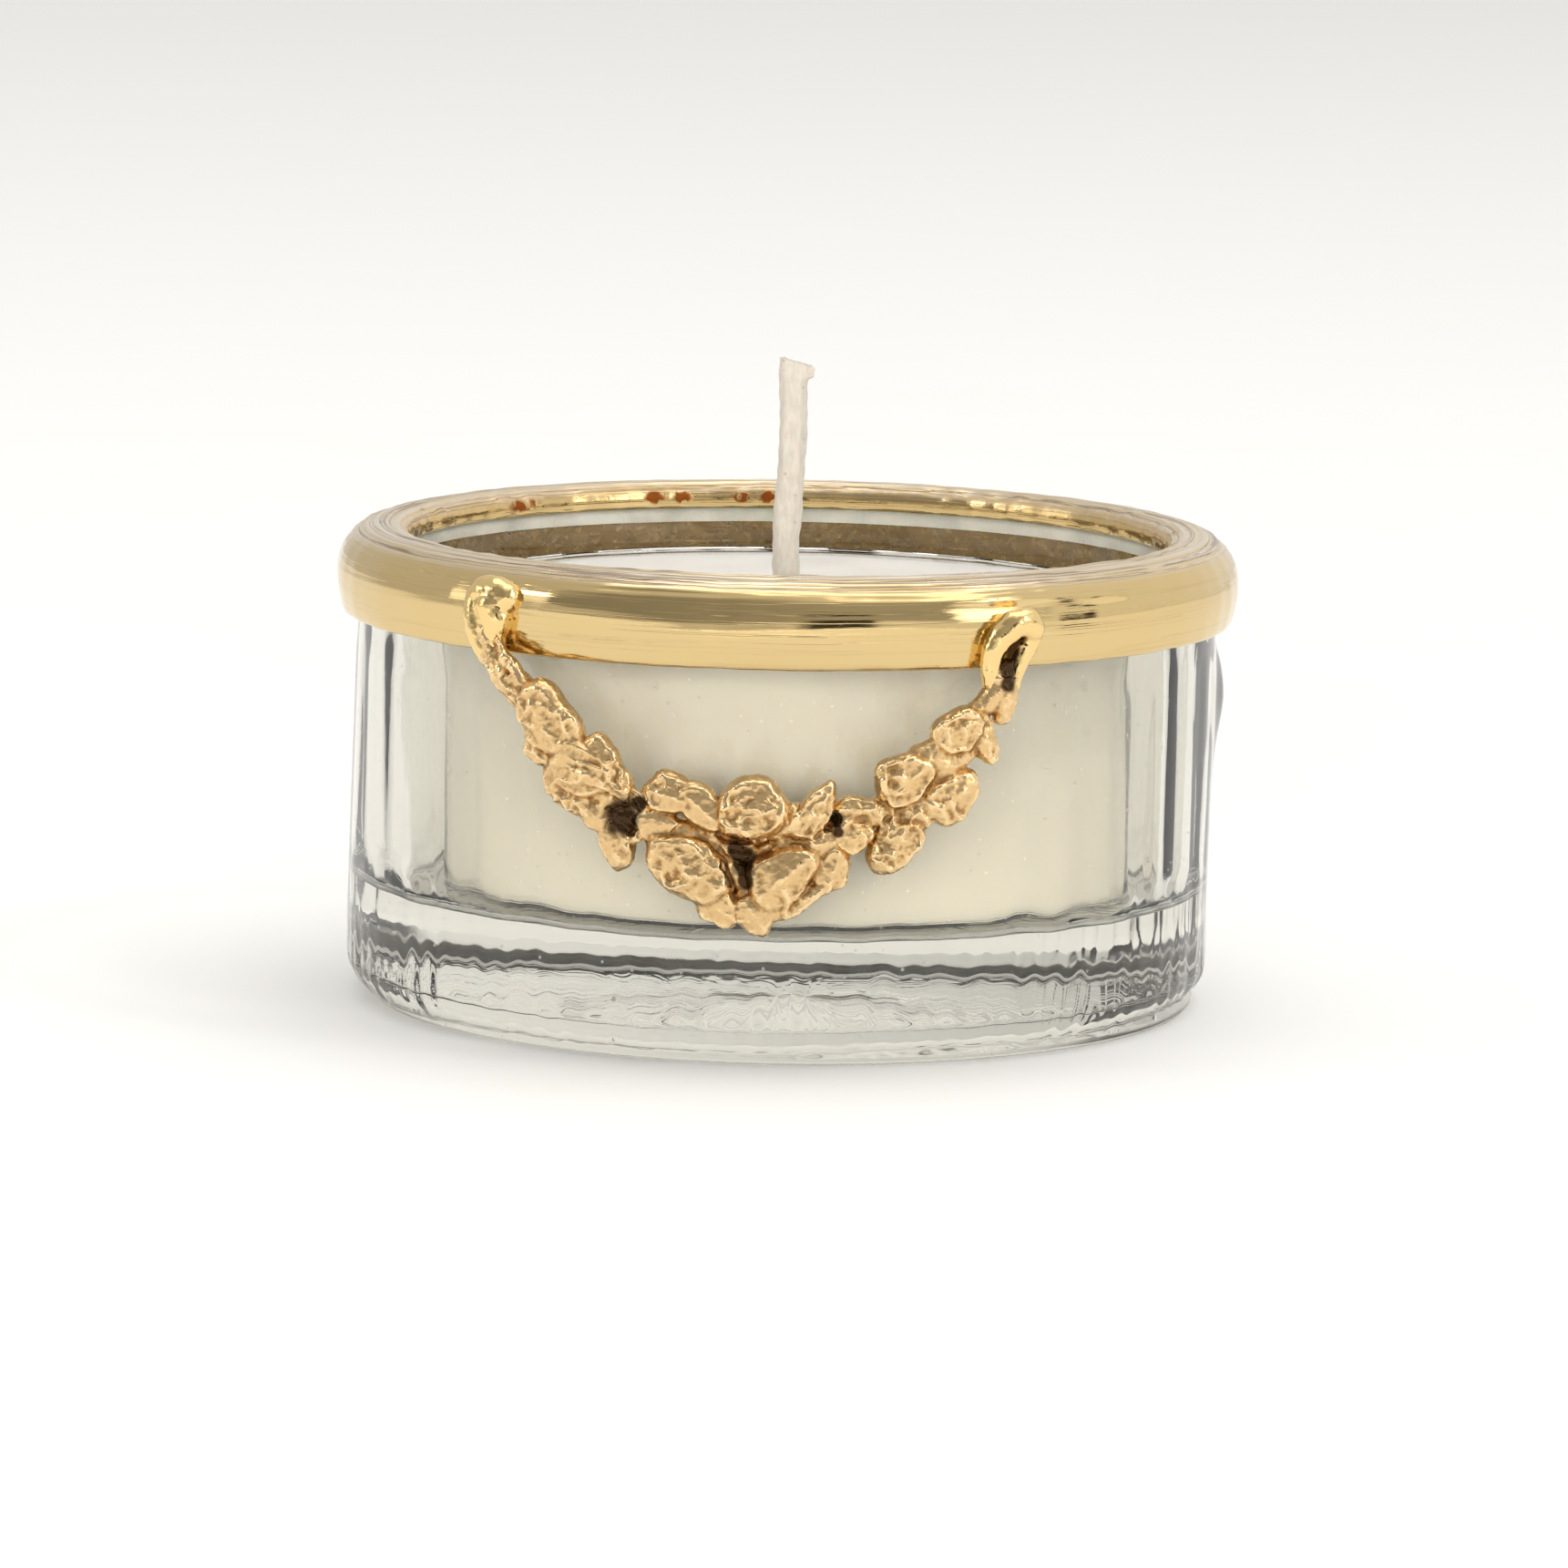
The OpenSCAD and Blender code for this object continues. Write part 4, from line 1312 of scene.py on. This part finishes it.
faces = np.stack([grid[:-1], turned[:-1], turned[1:], grid[1:]], 2).reshape(-1, 4).tolist()
faces += [grid[0].tolist(), grid[-1].tolist()]
wick = bake_down("waxed_wick", wick_points.reshape(-1, 3), faces)

waxed_cotton, tree, shader = new_material(
    "waxed_cotton",
    Subsurface_Weight=0.3,
    Subsurface_Scale=0.0005,
    Sheen_Weight=0.15,
    Sheen_Roughness=0.5,
)
place = node(tree, "ShaderNodeTexCoord").outputs["Object"]
stretched = node(tree, "ShaderNodeMapping", Vector=place, Scale=(1, 1, 0.35)).outputs[0]
fibre = node(tree, "ShaderNodeTexNoise", Vector=stretched, Scale=4200.0, Detail=4.0).outputs["Fac"]
film = use_group(tree, handled_film, Scale=900.0, Cover=1.0, Dust=1.0)
base = blend_colours(tree, fade(tree, fibre, 0.3, 0.7), colour("#bab3a6"), colour("#c6bfb4"))
base = blend_colours(tree, maths(tree, "MULTIPLY", film["Specks"], 0.6), base, colour("#8f8474"))
drive(tree, shader, Base_Color=base, Roughness=fade(tree, film["Film"], 0.0, 1.0, 0.45, 0.7))
drive(tree, shader, Normal=bump(tree, fibre, 0.00004, 0.6))
wick.data.materials.append(waxed_cotton)
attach(wick, "candle")
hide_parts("wick")
print(f"waxed_wick: {len(faces)} faces")

# %% [markdown]
# ## The tin tab
#
# The tab is stamped from tinplate: a flat disc with a pressed ring, and a neck that was squeezed
# round the wick in four places. It is a lathe shape whose neck is pinched by a wave of four turns.

# %% Stamp the tab
tab_outline = smooth_outline([
    (0.80, TAB_FOOT + 0.02), (2.2, TAB_FOOT + 0.02), (4.4, TAB_FOOT + 0.02), (TAB_R - 0.08, TAB_FOOT + 0.02),
    (TAB_R, TAB_FOOT + 0.10), (TAB_R - 0.08, TAB_FOOT + 0.22), (5.2, TAB_FOOT + 0.22),
    (4.7, TAB_FOOT + 0.29), (4.2, TAB_FOOT + 0.22), (2.0, TAB_FOOT + 0.24), (1.35, TAB_FOOT + 0.42),
    (1.22, TAB_FOOT + 1.0), (1.18, NECK_TOP - 0.6), (1.16, NECK_TOP - 0.08), (1.05, NECK_TOP),
    (0.86, NECK_TOP - 0.06), (0.82, NECK_TOP - 0.6), (0.80, TAB_FOOT + 1.2),
], 0.07, closed=True)
pinched = spin(
    "tin_tab",
    tab_outline,
    180,
    lambda angle, r, z, out_r, out_z: 0.05 * ramp(out_r, 0.3, 0.8) * (r < 1.5) * np.cos(4 * angle),
    closed=True,
)
tinplate, tree, shader = new_material("tinplate", Metallic=1.0)
lines = use_group(tree, turning_marks, Lines=12000.0, Drift=90.0, Sharpness=0.4)
film = use_group(tree, handled_film, Scale=400.0, Cover=0.6, Dust=0.3)
drive(tree, shader, Base_Color=blend_colours(tree, film["Film"], colour("#c9c9cb"), colour("#a9a8a6")))
drive(tree, shader, Roughness=fade(tree, lines["Height"], 0.3, 0.7, 0.22, 0.36))
drive(tree, shader, Normal=bump(tree, lines["Height"], 0.00001, 0.5))
pinched.data.materials.append(tinplate)
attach(pinched, "candle")
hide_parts("wick_sustainer")
